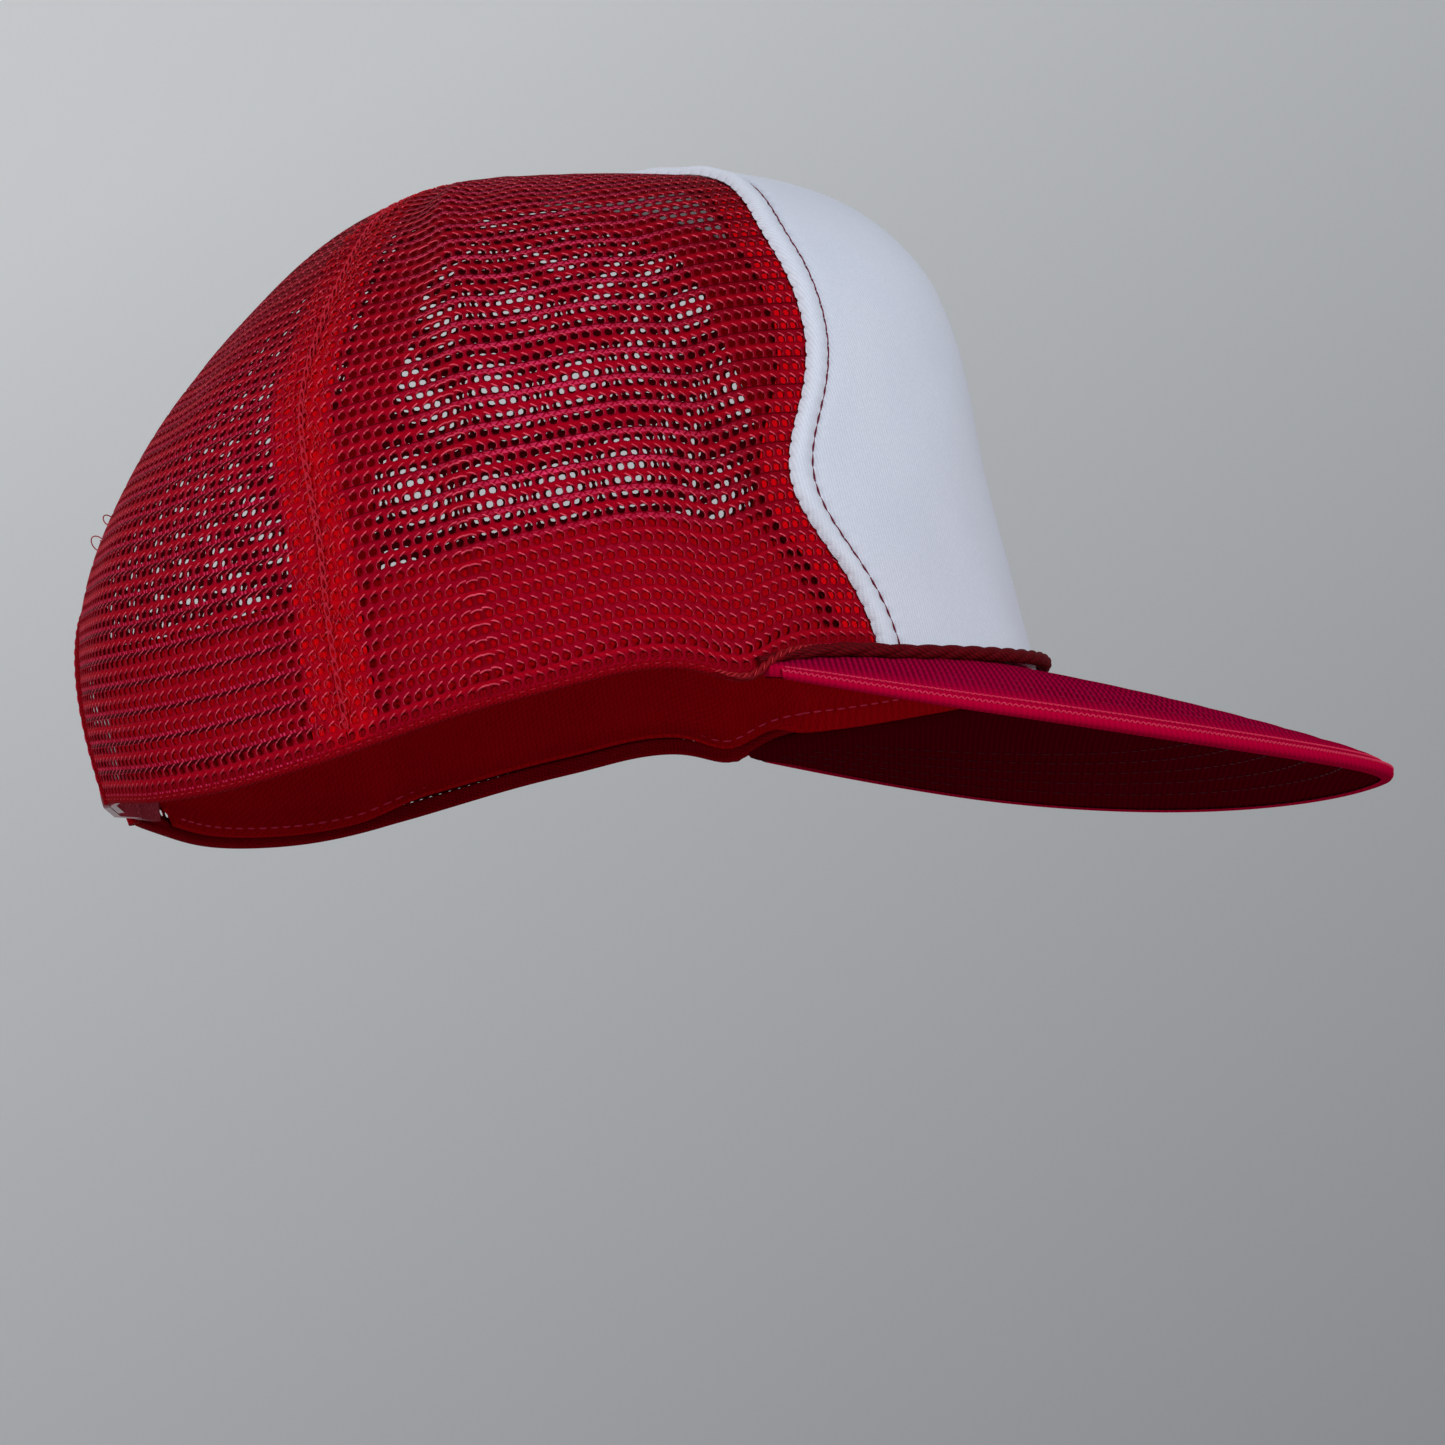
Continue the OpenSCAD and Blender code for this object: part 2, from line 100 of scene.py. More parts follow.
net_row = 2.75
net_rows = 66
side_net_columns = 58
back_net_columns = 52
side_net_middle = 82.0
back_net_middle = 150.0
net_low = 0.3
net_hole_half = 0.79
strand_thick = 0.32
ribbon_sink = 0.16

# Meridians that rows are measured along, hands, and places in metres behind the cloth
front_meridian = 40.0
side_meridian = 110.0
both_hands = ((1.0, "left"), (-1.0, "right"))
in_crown = (0.0, 0.0, 0.03)
under_bill = (0.08, 0.0, -0.5)
over_bill = (0.08, 0.0, 0.5)


# Small sums
def cosd(angle):
    return np.cos(np.radians(angle))


def sind(angle):
    return np.sin(np.radians(angle))


def lerp(a, b, u):
    return a + (b - a) * u


def ease(u):
    c = np.clip(u, 0.0, 1.0)
    return c * c * (3.0 - 2.0 * c)


def bell(u):
    return np.exp(-0.5 * np.square(u))


def unit(rows):
    return rows / np.linalg.norm(rows, axis=-1, keepdims=True)


def mirror(side):
    return np.array([1.0, side, 1.0])


def run_of(line):
    steps = np.linalg.norm(np.diff(line, axis=0), axis=1)
    return np.concatenate([[0.0], np.cumsum(steps)])


def along_of(path):
    return unit(np.gradient(path, axis=0))


# Crown surface, by the angle round the rim and the angle of rise
def rim_radius(phi):
    power = np.where(cosd(phi) >= 0.0, 2.0, back_flatness)
    total = (np.abs(cosd(phi)) / half_length) ** power + (np.abs(sind(phi)) / half_width) ** power
    return total ** (-1.0 / power)


def from_front(phi):
    return np.degrees(np.arccos(np.clip(cosd(phi), -1.0, 1.0)))


def root_height(phi):
    away = from_front(phi)
    return temple_rise * bell((away - 56.0) / 6.0) - nose_dip * (1.0 - ease(away / 52.0))


def rim_height(phi):
    away = from_front(phi)
    waves = ear_rise * bell((away - 80.0) / 7.0) - temple_droop * bell((away - 66.0) / 3.6)
    return root_height(phi) + waves - np.where(cosd(phi) < 0.0, back_dip * np.square(sind(2.0 * phi)), 0.0)


def by_side(phi, front, side, back):
    return side + np.where(cosd(phi) > 0.0, front - side, back - side) * np.square(cosd(phi))


def crown_share(phi, psi):
    power = by_side(phi, 3.9, 2.85, 2.2)
    across = np.clip(cosd(psi), 0.0, 1.0)
    upward = np.clip(sind(psi), 0.0, 1.0)
    reach = (across ** power + upward ** power) ** (-1.0 / power)
    swell = by_side(phi, -0.04, 0.01, 0.044)
    lift = upward * reach
    return across * reach * (1.0 + swell * sind(180.0 * np.clip(lift / 0.75, 0.0, 1.0))), lift


def plain_crown(phi, psi):
    phi = np.asarray(phi, float)
    psi = np.asarray(psi, float)
    share, lift = crown_share(phi, psi)
    x = apex_x + (rim_radius(phi) * cosd(phi) - apex_x) * share
    y = rim_radius(phi) * sind(phi) * share
    bump = crown_bump * bell((x - bump_x) / 32.0) * bell(y / 45.0) * lift ** 4
    z = lerp(rim_height(phi), crown_height, lift) + bump
    return np.stack([x, y, z], axis=-1)


def crown_normal(phi, psi):
    round_way = plain_crown(phi + 0.4, psi) - plain_crown(phi - 0.4, psi)
    up_way = plain_crown(phi, np.minimum(psi + 0.4, 89.6)) - plain_crown(phi, np.maximum(psi - 0.4, 0.0))
    return unit(np.cross(round_way, up_way))


def off_crown(phi, psi, lift):
    return plain_crown(phi, psi) + np.asarray(lift)[..., None] * crown_normal(phi, psi)


def front_seam(psi):
    return 45.9 + 9.0 * bell((psi - 18.0) / 7.0) - 11.0 * ease((psi - 42.0) / 24.0)


def side_seam(psi):
    return 118.2 + 4.0 * ease((psi - 18.0) / 20.0) + 14.0 * ease((psi - 46.0) / 44.0)


def centre_back(psi):
    return np.full_like(psi, 180.0)


def sink(psi):
    return (front_proud - top_proud) * ease((psi - 58.0) / 22.0)


def arch_share(phi, psi):
    return np.hypot((180.0 - np.abs(phi)) / arch_half, psi / arch_rise)


def degrees_for(width, phi, psi):
    return width / np.maximum(crown_share(phi, psi)[0] * rim_radius(phi), 0.5) * 180.0 / math.pi


def past_front(psi, width):
    return front_seam(psi) + degrees_for(width, front_seam(psi), psi)


def even_rise(share, phi, low, high):
    steps = np.linspace(low, high, 400)
    run = run_of(plain_crown(np.full(400, phi), steps))
    return np.interp(np.asarray(share) * run[-1], run, steps)


# Softness of the sewn net: a crease over the ear and a groove along the side seam
def slack(phi, psi):
    turn = np.abs(phi)
    crease_line = 98.0 + 9.0 * ease((psi - 40.0) / 28.0)
    crease = ease((psi - 8.0) / 16.0) * (1.0 - ease((psi - 60.0) / 14.0))
    fold = 1.1 * bell((turn - crease_line) / 2.6) - 0.6 * bell((turn - crease_line - 7.0) / 3.5)
    seam_away = (turn - side_seam(psi)) * 1.4
    groove = -0.55 * bell(seam_away / 2.2) * (1.0 - ease((psi - 74.0) / 10.0))
    on_net = ease((turn - 58.0) / 8.0)
    below_top = 1.0 - ease((psi - 70.0) / 12.0)
    ripple = 0.35 * np.sin(turn * 0.31 + 0.05 * psi) * np.sin(psi * 0.16 + 1.0) * below_top
    return crease * fold + groove + on_net * ripple


def crown(phi, psi, depth=0.0):
    phi = np.asarray(phi, float)
    psi = np.asarray(psi, float)
    return off_crown(phi, psi, slack(phi, psi) - depth)


# Making pieces by hand
def take(piece):
    bpy.ops.object.select_all(action="DESELECT")
    bpy.context.view_layer.objects.active = piece
    piece.select_set(True)


def begin_edit(piece):
    take(piece)
    bpy.ops.object.mode_set(mode="EDIT")
    bpy.ops.mesh.select_all(action="SELECT")


def end_edit():
    bpy.ops.object.mode_set(mode="OBJECT")


def merge(piece, gap):
    begin_edit(piece)
    bpy.ops.mesh.remove_doubles(threshold=gap)
    end_edit()


def added(name, data):
    piece = bpy.data.objects.new(name, data)
    bpy.context.collection.objects.link(piece)
    return piece


def rename(piece, name):
    piece.name = name
    piece.data.name = name


def points_of(piece):
    flat = np.empty(len(piece.data.vertices) * 3)
    piece.data.vertices.foreach_get("co", flat)
    return flat.reshape(-1, 3)


def faces_of(piece):
    """Normals and centres of a piece's faces."""
    rows = []
    for kind in ("normal", "center"):
        flat = np.empty(len(piece.data.polygons) * 3)
        piece.data.polygons.foreach_get(kind, flat)
        rows.append(flat.reshape(-1, 3))
    return rows


def put(piece, points):
    piece.data.vertices.foreach_set("co", np.ascontiguousarray(points, float).ravel())
    piece.data.update()


def lay_uv(piece, across, along):
    layer = piece.data.uv_layers.active or piece.data.uv_layers.new(name="UVMap")
    corner = np.empty(len(piece.data.loops), int)
    piece.data.loops.foreach_get("vertex_index", corner)
    pair = np.stack([np.asarray(across)[corner], np.asarray(along)[corner]], axis=-1)
    layer.data.foreach_set("uv", pair.ravel())


def use(piece, modifier):
    take(piece)
    bpy.ops.object.modifier_apply(modifier=modifier.name)


def face_away(piece, middle):
    normal, centre = faces_of(piece)
    if (normal * (centre - np.asarray(middle))).sum() < 0.0:
        piece.data.flip_normals()


def thicken(piece, thick):
    wall = piece.modifiers.new("wall", "SOLIDIFY")
    wall.thickness = thick * MM
    wall.offset = -1.0
    use(piece, wall)


def smooth(piece, angle=60.0):
    take(piece)
    bpy.ops.object.shade_smooth_by_angle(angle=math.radians(angle))


def cut_faces(piece, chosen):
    take(piece)
    bpy.context.tool_settings.mesh_select_mode = (False, False, True)
    piece.data.vertices.foreach_set("select", np.zeros(len(piece.data.vertices), bool))
    piece.data.edges.foreach_set("select", np.zeros(len(piece.data.edges), bool))
    piece.data.polygons.foreach_set("select", chosen)
    bpy.ops.object.mode_set(mode="EDIT")
    bpy.ops.mesh.delete(type="FACE")
    end_edit()
    bpy.context.tool_settings.mesh_select_mode = (True, False, False)


def flat_grid(name, columns, rows):
    bpy.ops.mesh.primitive_grid_add(x_subdivisions=columns, y_subdivisions=rows, size=1.0)
    piece = bpy.context.active_object
    rename(piece, name)
    spot = points_of(piece) + 0.5
    return piece, np.rint(spot[:, 0] * columns).astype(int), np.rint(spot[:, 1] * rows).astype(int)


def sheet(piece, spots, across, along, thick, behind=in_crown, closed=False):
    """Lay a flat grid on its points in millimetres, and give it a wall toward the place behind it."""
    put(piece, spots * MM)
    lay_uv(piece, across, along)
    if closed:
        merge(piece, 1e-6)
    face_away(piece, behind)
    thicken(piece, thick)
    smooth(piece)


def swept(name, path, out, up, profile):
    """Run a closed profile along a path; its two numbers go along out and up."""
    count = len(path)
    profile = np.broadcast_to(profile, (count,) + np.shape(profile)[-2:])
    sides = profile.shape[1]
    piece, i, j = flat_grid(name, count - 1, sides)
    k = j % sides
    put(piece, (path[i] + profile[i, k, :1] * out[i] + profile[i, k, 1:] * up[i]) * MM)
    girth = run_of(np.concatenate([profile[0], profile[0][:1]]))
    lay_uv(piece, run_of(path)[i], girth[j])
    begin_edit(piece)
    bpy.ops.mesh.remove_doubles(threshold=1e-6)
    bpy.ops.mesh.fill_holes(sides=0)
    bpy.ops.mesh.normals_make_consistent(inside=False)
    end_edit()
    smooth(piece)
    return piece


def ring(count, wide, high):
    turn = np.linspace(0.0, 360.0, count, endpoint=False)
    return np.stack([wide * cosd(turn), high * sind(turn)], axis=-1)


def joined(name, pieces):
    take(pieces[0])
    for piece in pieces[1:]:
        piece.select_set(True)
    bpy.ops.object.join()
    rename(pieces[0], name)
    return pieces[0]


def paint(piece, finish):
    piece.data.materials.clear()
    piece.data.materials.append(finish)


def dress(piece, finish, slot, *nodes):
    """Give a piece its finish and body, and hide the solids it stands for."""
    paint(piece, finish)
    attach(piece, "crown")
    if nodes:
        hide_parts(*nodes)


# Stitches: one is modelled and copied along a seam
def stitch_model(length, width, height):
    bpy.ops.mesh.primitive_uv_sphere_add(segments=6, ring_count=4, radius=1.0)
    piece = bpy.context.active_object
    spot = points_of(piece)[:, [2, 0, 1]]
    put(piece, spot * np.array([length, width, height]) * 0.5)
    return piece


def loop_model(length, width, wire):
    bpy.ops.mesh.primitive_torus_add(major_segments=10, minor_segments=4, major_radius=1.0, minor_radius=0.3)
    piece = bpy.context.active_object
    x, y, z = points_of(piece).T
    lean = x * 0.15 * length
    put(piece, np.stack([x * length * 0.5, y * width * 0.5, z * wire + lean], axis=-1))
    return piece


def spaced(line, pitch):
    run = run_of(line)
    stops = np.arange(pitch / 2.0, run[-1], pitch)
    return np.stack([np.interp(stops, run, line[:, k]) for k in range(3)], axis=-1), stops / run[-1]


def stitch_row(line, out, pitch):
    spots, share = spaced(line, pitch)
    run = run_of(line) / run_of(line)[-1]
    normal = unit(np.stack([np.interp(share, run, out[:, k]) for k in range(3)], axis=-1))
    along = along_of(spots)
    along = unit(along - (along * normal).sum(axis=1, keepdims=True) * normal)
    return spots, along, normal


def sewn(name, model, rows, finish, slot):
    """Copy one stitch to every spot of the rows, and join the copies as one piece."""
    spots, along, out = [np.concatenate(part) for part in zip(*rows)]
    base = points_of(model)
    laid = spots[:, None, :]
    for k, way in enumerate((along, np.cross(out, along), out)):
        laid = laid + base[None, :, k:k + 1] * way[:, None, :]
    # A new sphere's faces come in an order that varies by run, so they are sorted
    rings = sorted(list(face.vertices) for face in model.data.polygons)
    faces = [[k * len(base) + v for v in ring_of] for k in range(len(spots)) for ring_of in rings]
    mesh = bpy.data.meshes.new(name)
    mesh.from_pydata((laid.reshape(-1, 3) * MM).tolist(), [], faces)
    piece = added(name, mesh)
    bpy.data.objects.remove(model)
    smooth(piece, 80.0)
    dress(piece, finish, slot)


# Shader sums written as expressions
class Wire:
    """A shader value; sums on it add Math nodes to its finish."""

    def __init__(self, finish, socket):
        self.finish = finish
        self.socket = socket

    def __add__(self, other):
        return self.finish.sum("ADD", self, other)

    def __radd__(self, other):
        return self.finish.sum("ADD", other, self)

    def __sub__(self, other):
        return self.finish.sum("SUBTRACT", self, other)

    def __rsub__(self, other):
        return self.finish.sum("SUBTRACT", other, self)

    def __mul__(self, other):
        return self.finish.sum("MULTIPLY", self, other)

    def __rmul__(self, other):
        return self.finish.sum("MULTIPLY", other, self)


class Finish:
    """A procedural material of one of the cap's finishes."""

    def __init__(self, name):
        self.material = bpy.data.materials.new(name)
        self.material.use_nodes = True
        self.tree = self.material.node_tree
        self.tree.nodes.clear()

    def node(self, kind, settings=None, sockets=None, out=0):
        made = self.tree.nodes.new("ShaderNode" + kind)
        for key, value in (settings or {}).items():
            setattr(made, key, value)
        for key, value in (sockets or {}).items():
            if isinstance(value, Wire):
                self.tree.links.new(value.socket, made.inputs[key])
            else:
                made.inputs[key].default_value = value
        return Wire(self, made.outputs[out])

    def sum(self, operation, a, b=0.0):
        return self.node("Math", {"operation": operation}, {0: a, 1: b})

    def place(self):
        return self.node("TexCoord", out="Object")

    def split(self, vector):
        parts = self.node("SeparateXYZ", None, {0: vector}).socket.node.outputs
        return [Wire(self, part) for part in parts]

    def uv(self):
        return self.split(self.node("UVMap", {"uv_map": "UVMap"}))[:2]

    def noise(self, vector, scale, detail=2.0, rough=0.5):
        sockets = {"Vector": vector, "Scale": scale, "Detail": detail, "Roughness": rough}
        return self.node("TexNoise", None, sockets)

    def waves(self, value, pitch, shift=0.0):
        return self.sum("SINE", value * (2.0 * math.pi / pitch) + shift) * 0.5 + 0.5

    def odd(self, count):
        return self.sum("MODULO", count + 200.0, 2.0)

    def limit(self, value, low, high):
        return self.node("MapRange", None, {0: value, 1: low, 2: high, 3: 0.0, 4: 1.0})

    def near(self, value, inner, outer):
        """One where a value is close to zero, and none past the outer distance."""
        return 1.0 - self.limit(self.sum("ABSOLUTE", value), inner, outer)

    def blend(self, share, first, second):
        """Mix two tones; a plain one is a display colour."""
        first, second = [tone if isinstance(tone, Wire) else colour(*tone) for tone in (first, second)]
        return self.node("Mix", {"data_type": "RGBA"}, {0: share, 6: first, 7: second}, 2)

    def bump(self, height, distance, strength):
        return self.node("Bump", None, {"Height": height, "Distance": distance * MM, "Strength": strength})

    def close(self, tone, rough, normal, specular=0.5, **more):
        sockets = {"Base Color": tone, "Roughness": rough, "Normal": normal, "Specular IOR Level": specular}
        for name, value in more.items():
            sockets[name.replace("_", " ").title()] = value
        shader = self.node("BsdfPrincipled", None, sockets)
        end = self.tree.nodes.new("ShaderNodeOutputMaterial")
        self.tree.links.new(shader.socket, end.inputs["Surface"])
        return self.material


def colour(red, green, blue):
    """A display colour, 0 to 255, as the shader's linear one."""
    part = [value / 255.0 for value in (red, green, blue)]
    line = [value / 12.92 if value <= 0.04045 else ((value + 0.055) / 1.055) ** 2.4 for value in part]
    return (*line, 1.0)


# Finishes
def knit_white():
    f = Finish("white_knit_face")
    across, along = f.uv()
    place = f.place()
    ribs = f.waves(across, 0.62)
    courses = f.waves(along, 0.45, across * 5.0)
    cloud = f.noise(place, 45.0, 3.0)
    fuzz = f.noise(place, 1500.0)
    shade = ribs * 0.35 + courses * 0.15 + fuzz * 0.5
    tone = f.blend(cloud, (222, 227, 240), (238, 240, 248))
    tone = f.blend(f.limit(shade, 0.25, 0.75), f.blend(0.5, tone, (196, 202, 220)), tone)
    height = ribs * 0.6 + courses * 0.2 + fuzz * 0.3
    normal = f.bump(height, 0.10, 0.55)
    return f.close(tone, 0.62 + 0.2 * fuzz, normal, sheen_weight=0.25, sheen_roughness=0.5)


def foam_white():
    f = Finish("white_foam_back")
    place = f.place()
    cells = f.node("TexVoronoi", None, {"Vector": place, "Scale": 1400.0})
    cloud = f.noise(place, 30.0)
    tone = f.blend(cells, (196, 198, 202), (232, 233, 236))
    tone = f.blend(cloud * 0.4, tone, (214, 212, 205))
    return f.close(tone, 0.85 + 0.1 * cloud, f.bump(cells, 0.3, 0.6))


def net_red():
    """Net with painted glints round its holes and painted sheen on its flat ribbons; its UV counts holes and
    rows.
    """
    f = Finish("red_polyester_net")
    across, along = f.uv()
    place = f.place()
    forward, _, high = f.split(place)
    at_back = f.limit(forward, -0.042, -0.052)
    above_band = f.limit(high, 0.024, 0.040)
    patchy = f.limit(f.noise(place, 420.0), 0.35, 0.65)
    broad = f.limit(f.noise(place, 70.0), 0.35, 0.65)
    grain = f.noise(place, 2600.0, 1.0)
    cloud = f.noise(place, 28.0)

    # Place in each hole's own square; x turns about at the crease over the ear
    turned = f.limit(forward, -0.010, -0.017) * 2.0 - 1.0
    shift = f.odd(f.sum("FLOOR", along + 0.5)) * 0.5
    x = (f.sum("FRACT", across - shift + 0.5) - 0.5) * turned
    y = f.sum("FRACT", along + 0.5) - 0.5
    hole_way = f.sum("SQRT", x * x * 8.2 + y * y * 12.4)
    # Painted glints: a bright arc on the rim of each hole and a bright stroke on the strand over it
    arc = f.near(hole_way - 1.13, 0.03, 0.10) * f.limit(x * 0.8 + y * 0.3, 0.14, 0.24)
    roof = f.near(y + x * 0.54 - 0.38, 0.03, 0.07) * f.near(x - 0.02, 0.22, 0.32)
    inset = f.limit(along, 0.9, 1.6)
    painted_glint = f.sum("MAXIMUM", arc * patchy * 0.55, roof * (0.45 + 0.55 * patchy)) * inset

    # Ribbons between the rows of holes, every other one flat; the flat ones carry a painted sheen on the
    # side of the crown
    level = f.sum("FRACT", along) - 0.5
    line = f.sum("FLOOR", along)
    flat_row = 1.0 - f.odd(line)
    in_ribbon = f.near(level, 0.14, 0.19)
    slope = f.sum("PINGPONG", across, 0.5) * 2.0 - 0.5 - level * 2.6
    crossing = f.near(slope, 0.14, 0.32)
    cell = f.node("CombineXYZ", None, {0: f.sum("FLOOR", across * 2.0) * 0.37, 1: line * 0.61})
    lively = f.limit(f.noise(cell, 1.0, 1.0), 0.3, 0.7) * (0.65 + 0.35 * f.limit(slope, -0.2, 0.2))
    # Zone on the side of the crown, above the band, where the painted sheen lies
    painted_sheen_zone = f.limit(forward, -0.024, -0.006) * f.limit(forward, 0.042, 0.022) * above_band
    painted_sheen = in_ribbon * (1.0 - crossing) * flat_row * painted_sheen_zone * (0.4 + 0.6 * lively) * (0.6 + 0.4 * broad)
    # Painted glints: small bright marks over the flat rows at the back
    leg = f.sum("ABSOLUTE", f.sum("FRACT", across) - 0.5) - 0.17
    painted_back_glint = f.near(leg, 0.05, 0.10) * f.near(level - 0.12, 0.09, 0.14)
    painted_back_glint = painted_back_glint * flat_row * at_back * (0.3 + 0.5 * patchy)
    # Painted shade: a dark line in the groove of each flat row at the back, and a painted shadow line near
    # the upper edge of each flat row above the band
    groove = f.near(level + 0.12, 0.10, 0.17) * flat_row * at_back
    shadow = f.near(level - 0.2, 0.03, 0.08) * flat_row * (1.0 - at_back) * above_band

    # Tones by height and distance forward, with painted shade toward the top, brighter where the seam
    # doubles the net
    from_seam = f.node("Attribute", {"attribute_name": "seam_gap"}, out="Fac")
    doubled = f.near(from_seam, 2.6, 6.6)
    single = 1.0 - doubled * 0.8
    fading = 1.0 - 0.7 * f.limit(high, 0.055, 0.095)
    seam_red = f.blend(f.limit(from_seam, -1.0, 1.0), (208, 2, 14), (180, 0, 18))
    tone = f.blend(cloud, (150, 0, 21), (174, 0, 40))
    tone = f.blend(f.limit(forward, 0.014, 0.040) * 0.55, tone, (122, 0, 13))
    # Painted shade: darker toward the top of the crown
    tone = f.blend(f.limit(high, 0.062, 0.100) * 0.7, tone, (98, 0, 14))
    tone = f.blend(f.limit(high, 0.034, 0.024) * 0.6, tone, (160, 0, 30))
    tone = f.blend((1.0 - flat_row) * in_ribbon * 0.5, tone, (188, 0, 24))
    # Painted shade: darker round the rim of each hole than in the middle of the strands
    tone = f.blend(f.limit(hole_way, 1.42, 1.05) * 0.6, tone, (104, 0, 8))
    tone = f.blend(f.limit(grain, 0.4, 0.7) * 0.4, tone, (104, 0, 7))
    # Painted shade and painted shadow in near-black red
    tone = f.blend(f.sum("MAXIMUM", shadow * 0.7, groove * 0.9) * single, tone, (62, 0, 5))
    tone = f.blend(doubled * fading * (0.25 + 0.5 * patchy), tone, seam_red)
    # Painted sheen on the side ribbons and painted glint marks at the back, in bright pink; the sheen also
    # drives some real metallic reflection
    tone = f.blend(f.sum("MAXIMUM", painted_sheen, painted_back_glint) * single, tone, (246, 62, 112))
    # Painted glints in pale pink
    tone = f.blend(painted_glint, tone, (255, 92, 114))
    height = crossing * in_ribbon * 0.7 + painted_glint * 0.5 + grain * 0.4
    rough = 0.5 + 0.2 * grain - 0.15 * painted_sheen
    return f.close(tone, rough, f.bump(height, 0.14, 0.7), 0.02, metallic=painted_sheen * 0.4)


# Darker copy of the net for the faces turned into the crown: painted shade inside the cap
def net_inside_painted_shade():
    f = Finish("red_net_inside_painted_shade")
    place = f.place()
    grain = f.noise(place, 2200.0)
    cloud = f.noise(place, 40.0)
    tone = f.blend(f.limit(grain, 0.35, 0.7), (88, 0, 8), (116, 0, 18))
    tone = f.blend(cloud * 0.4, tone, (100, 0, 24))
    return f.close(tone, 0.75 + 0.15 * grain, f.bump(grain, 0.12, 0.6), 0.04)


def woven(name, base, bright, pitch, rough=0.7):
    f = Finish(name)
    across, along = f.uv()
    place = f.place()
    warp = f.waves(across, pitch)
    weft = f.waves(along, pitch, across * (math.pi / pitch))
    grain = f.noise(place, 1800.0)
    cloud = f.noise(place, 35.0, 3.0)
    cloth = warp * 0.45 + weft * 0.45 + grain * 0.35
    tone = f.blend(f.limit(cloth, 0.3, 1.0), base, bright)
    tone = f.blend(f.limit(cloud, 0.42, 0.75) * 0.35, tone, f.blend(0.5, base, bright))
    return f.close(tone, rough + 0.2 * grain - 0.1, f.bump(cloth, 0.18, 0.7), 0.02)


def bill_cloth(name, base, bright, edge):
    """Ribbed cloth; its UV runs along the edge and counts the distance from it."""
    f = Finish(name)
    across, along = f.uv()
    place = f.place()
    ribs = f.waves(f.split(place)[0], 1.06 * MM)
    weft = f.waves(along, 0.7, across * 3.0)
    grain = f.noise(place, 1600.0)
    cloud = f.noise(place, 30.0, 3.0)
    cloth = ribs * 0.75 + weft * 0.15 + grain * 0.3
    tone = f.blend(f.limit(cloth, 0.3, 1.0), base, bright)
    tone = f.blend(f.limit(cloud, 0.4, 0.75) * 0.3, tone, bright)
    tone = f.blend(f.limit(along, 9.0, 2.0) * 0.4, tone, edge)
    tone = f.blend(f.limit(along, 1.2, -0.4) * (0.5 + 0.5 * cloth), tone, edge)
    return f.close(tone, 0.6 + 0.2 * grain, f.bump(cloth, 0.2, 0.7), 0.0)


def thread(name, base, bright):
    f = Finish(name)
    grain = f.noise(f.place(), 2200.0)
    tone = f.blend(grain, base, bright)
    return f.close(tone, 0.5 + 0.2 * grain, f.bump(grain, 0.1, 0.6), 0.12)


def rope_cord():
    f = Finish("dark_red_rope_yarn")
    along, across = f.uv()
    fibres = f.waves(across, 0.45, along * 4.0)
    grain = f.noise(f.place(), 1500.0)
    tone = f.blend(f.limit(fibres * 0.6 + grain * 0.6, 0.3, 1.0), (66, 0, 6), (112, 0, 11))
    normal = f.bump(fibres * 0.6 + grain * 0.4, 0.08, 0.6)
    return f.close(tone, 0.7 + 0.15 * grain, normal, 0.08)


def snap_plastic():
    f = Finish("red_snap_plastic")
    place = f.place()
    cloud = f.noise(place, 60.0, 3.0)
    scuff = f.noise(place, 700.0, 4.0, 0.7)
    worn = f.limit(scuff, 0.58, 0.78)
    tone = f.blend(cloud, (190, 66, 84), (208, 92, 108))
    tone = f.blend(worn * 0.25, tone, (222, 140, 150))
    rough = 0.2 + 0.25 * worn + 0.08 * cloud
    return f.close(tone, rough, f.bump(scuff, 0.03, 0.4), coat_weight=0.4, transmission_weight=0.4)


def stiff_board():
    f = Finish("pale_bill_board")
    grain = f.noise(f.place(), 400.0, 3.0)
    tone = f.blend(grain, (214, 210, 198), (236, 233, 224))
    return f.close(tone, 0.5 + 0.2 * grain, f.bump(grain, 0.05, 0.4))


white_knit = knit_white()
white_foam = foam_white()
red_net = net_red()
shaded_net_inside = net_inside_painted_shade()
red_tape = woven("red_seam_tape", (170, 0, 6), (206, 0, 16), 0.7)
red_cloth = woven("red_hem_cloth", (112, 0, 8), (148, 0, 18), 0.8)
seam_cloth = woven("red_seam_edge_cloth", (212, 0, 8), (240, 2, 22), 0.6)
sweat_cloth = woven("red_sweatband_cloth", (162, 0, 9), (186, 0, 17), 1.0, 0.8)
bill_red = bill_cloth("red_bill_cloth", (101, 0, 29), (172, 2, 60), (190, 0, 52))
# Dark red lining under the bill, its own colour darkened further as painted shade
bill_lining_painted_shade = bill_cloth("dark_red_bill_lining_painted_shade", (74, 0, 10), (86, 0, 13), (82, 0, 12))
pink_thread = thread("pink_seam_thread", (166, 0, 18), (208, 40, 66))
# Thread of the stitches under the bill, darkened as painted shade
under_bill_thread_painted_shade = thread("dark_red_thread_painted_shade", (58, 0, 10), (88, 2, 18))
bright_thread = thread("bright_red_thread", (186, 12, 52), (240, 66, 104))
seam_thread = thread("bright_seam_yarn", (170, 0, 10), (218, 12, 26))
gathered_yarn = thread("gathered_net_yarn", (104, 0, 10), (154, 6, 22))
# Coral for flecks that are painted glints on the gathered net
painted_glint_yarn = thread("coral_painted_glint_flecks", (180, 8, 26), (230, 66, 76))
front_thread = thread("dark_plum_thread", (84, 6, 30), (132, 22, 54))
bill_thread = thread("crimson_bill_thread", (112, 0, 32), (150, 2, 52))
rope_yarn = rope_cord()
red_plastic = snap_plastic()
pale_board = stiff_board()

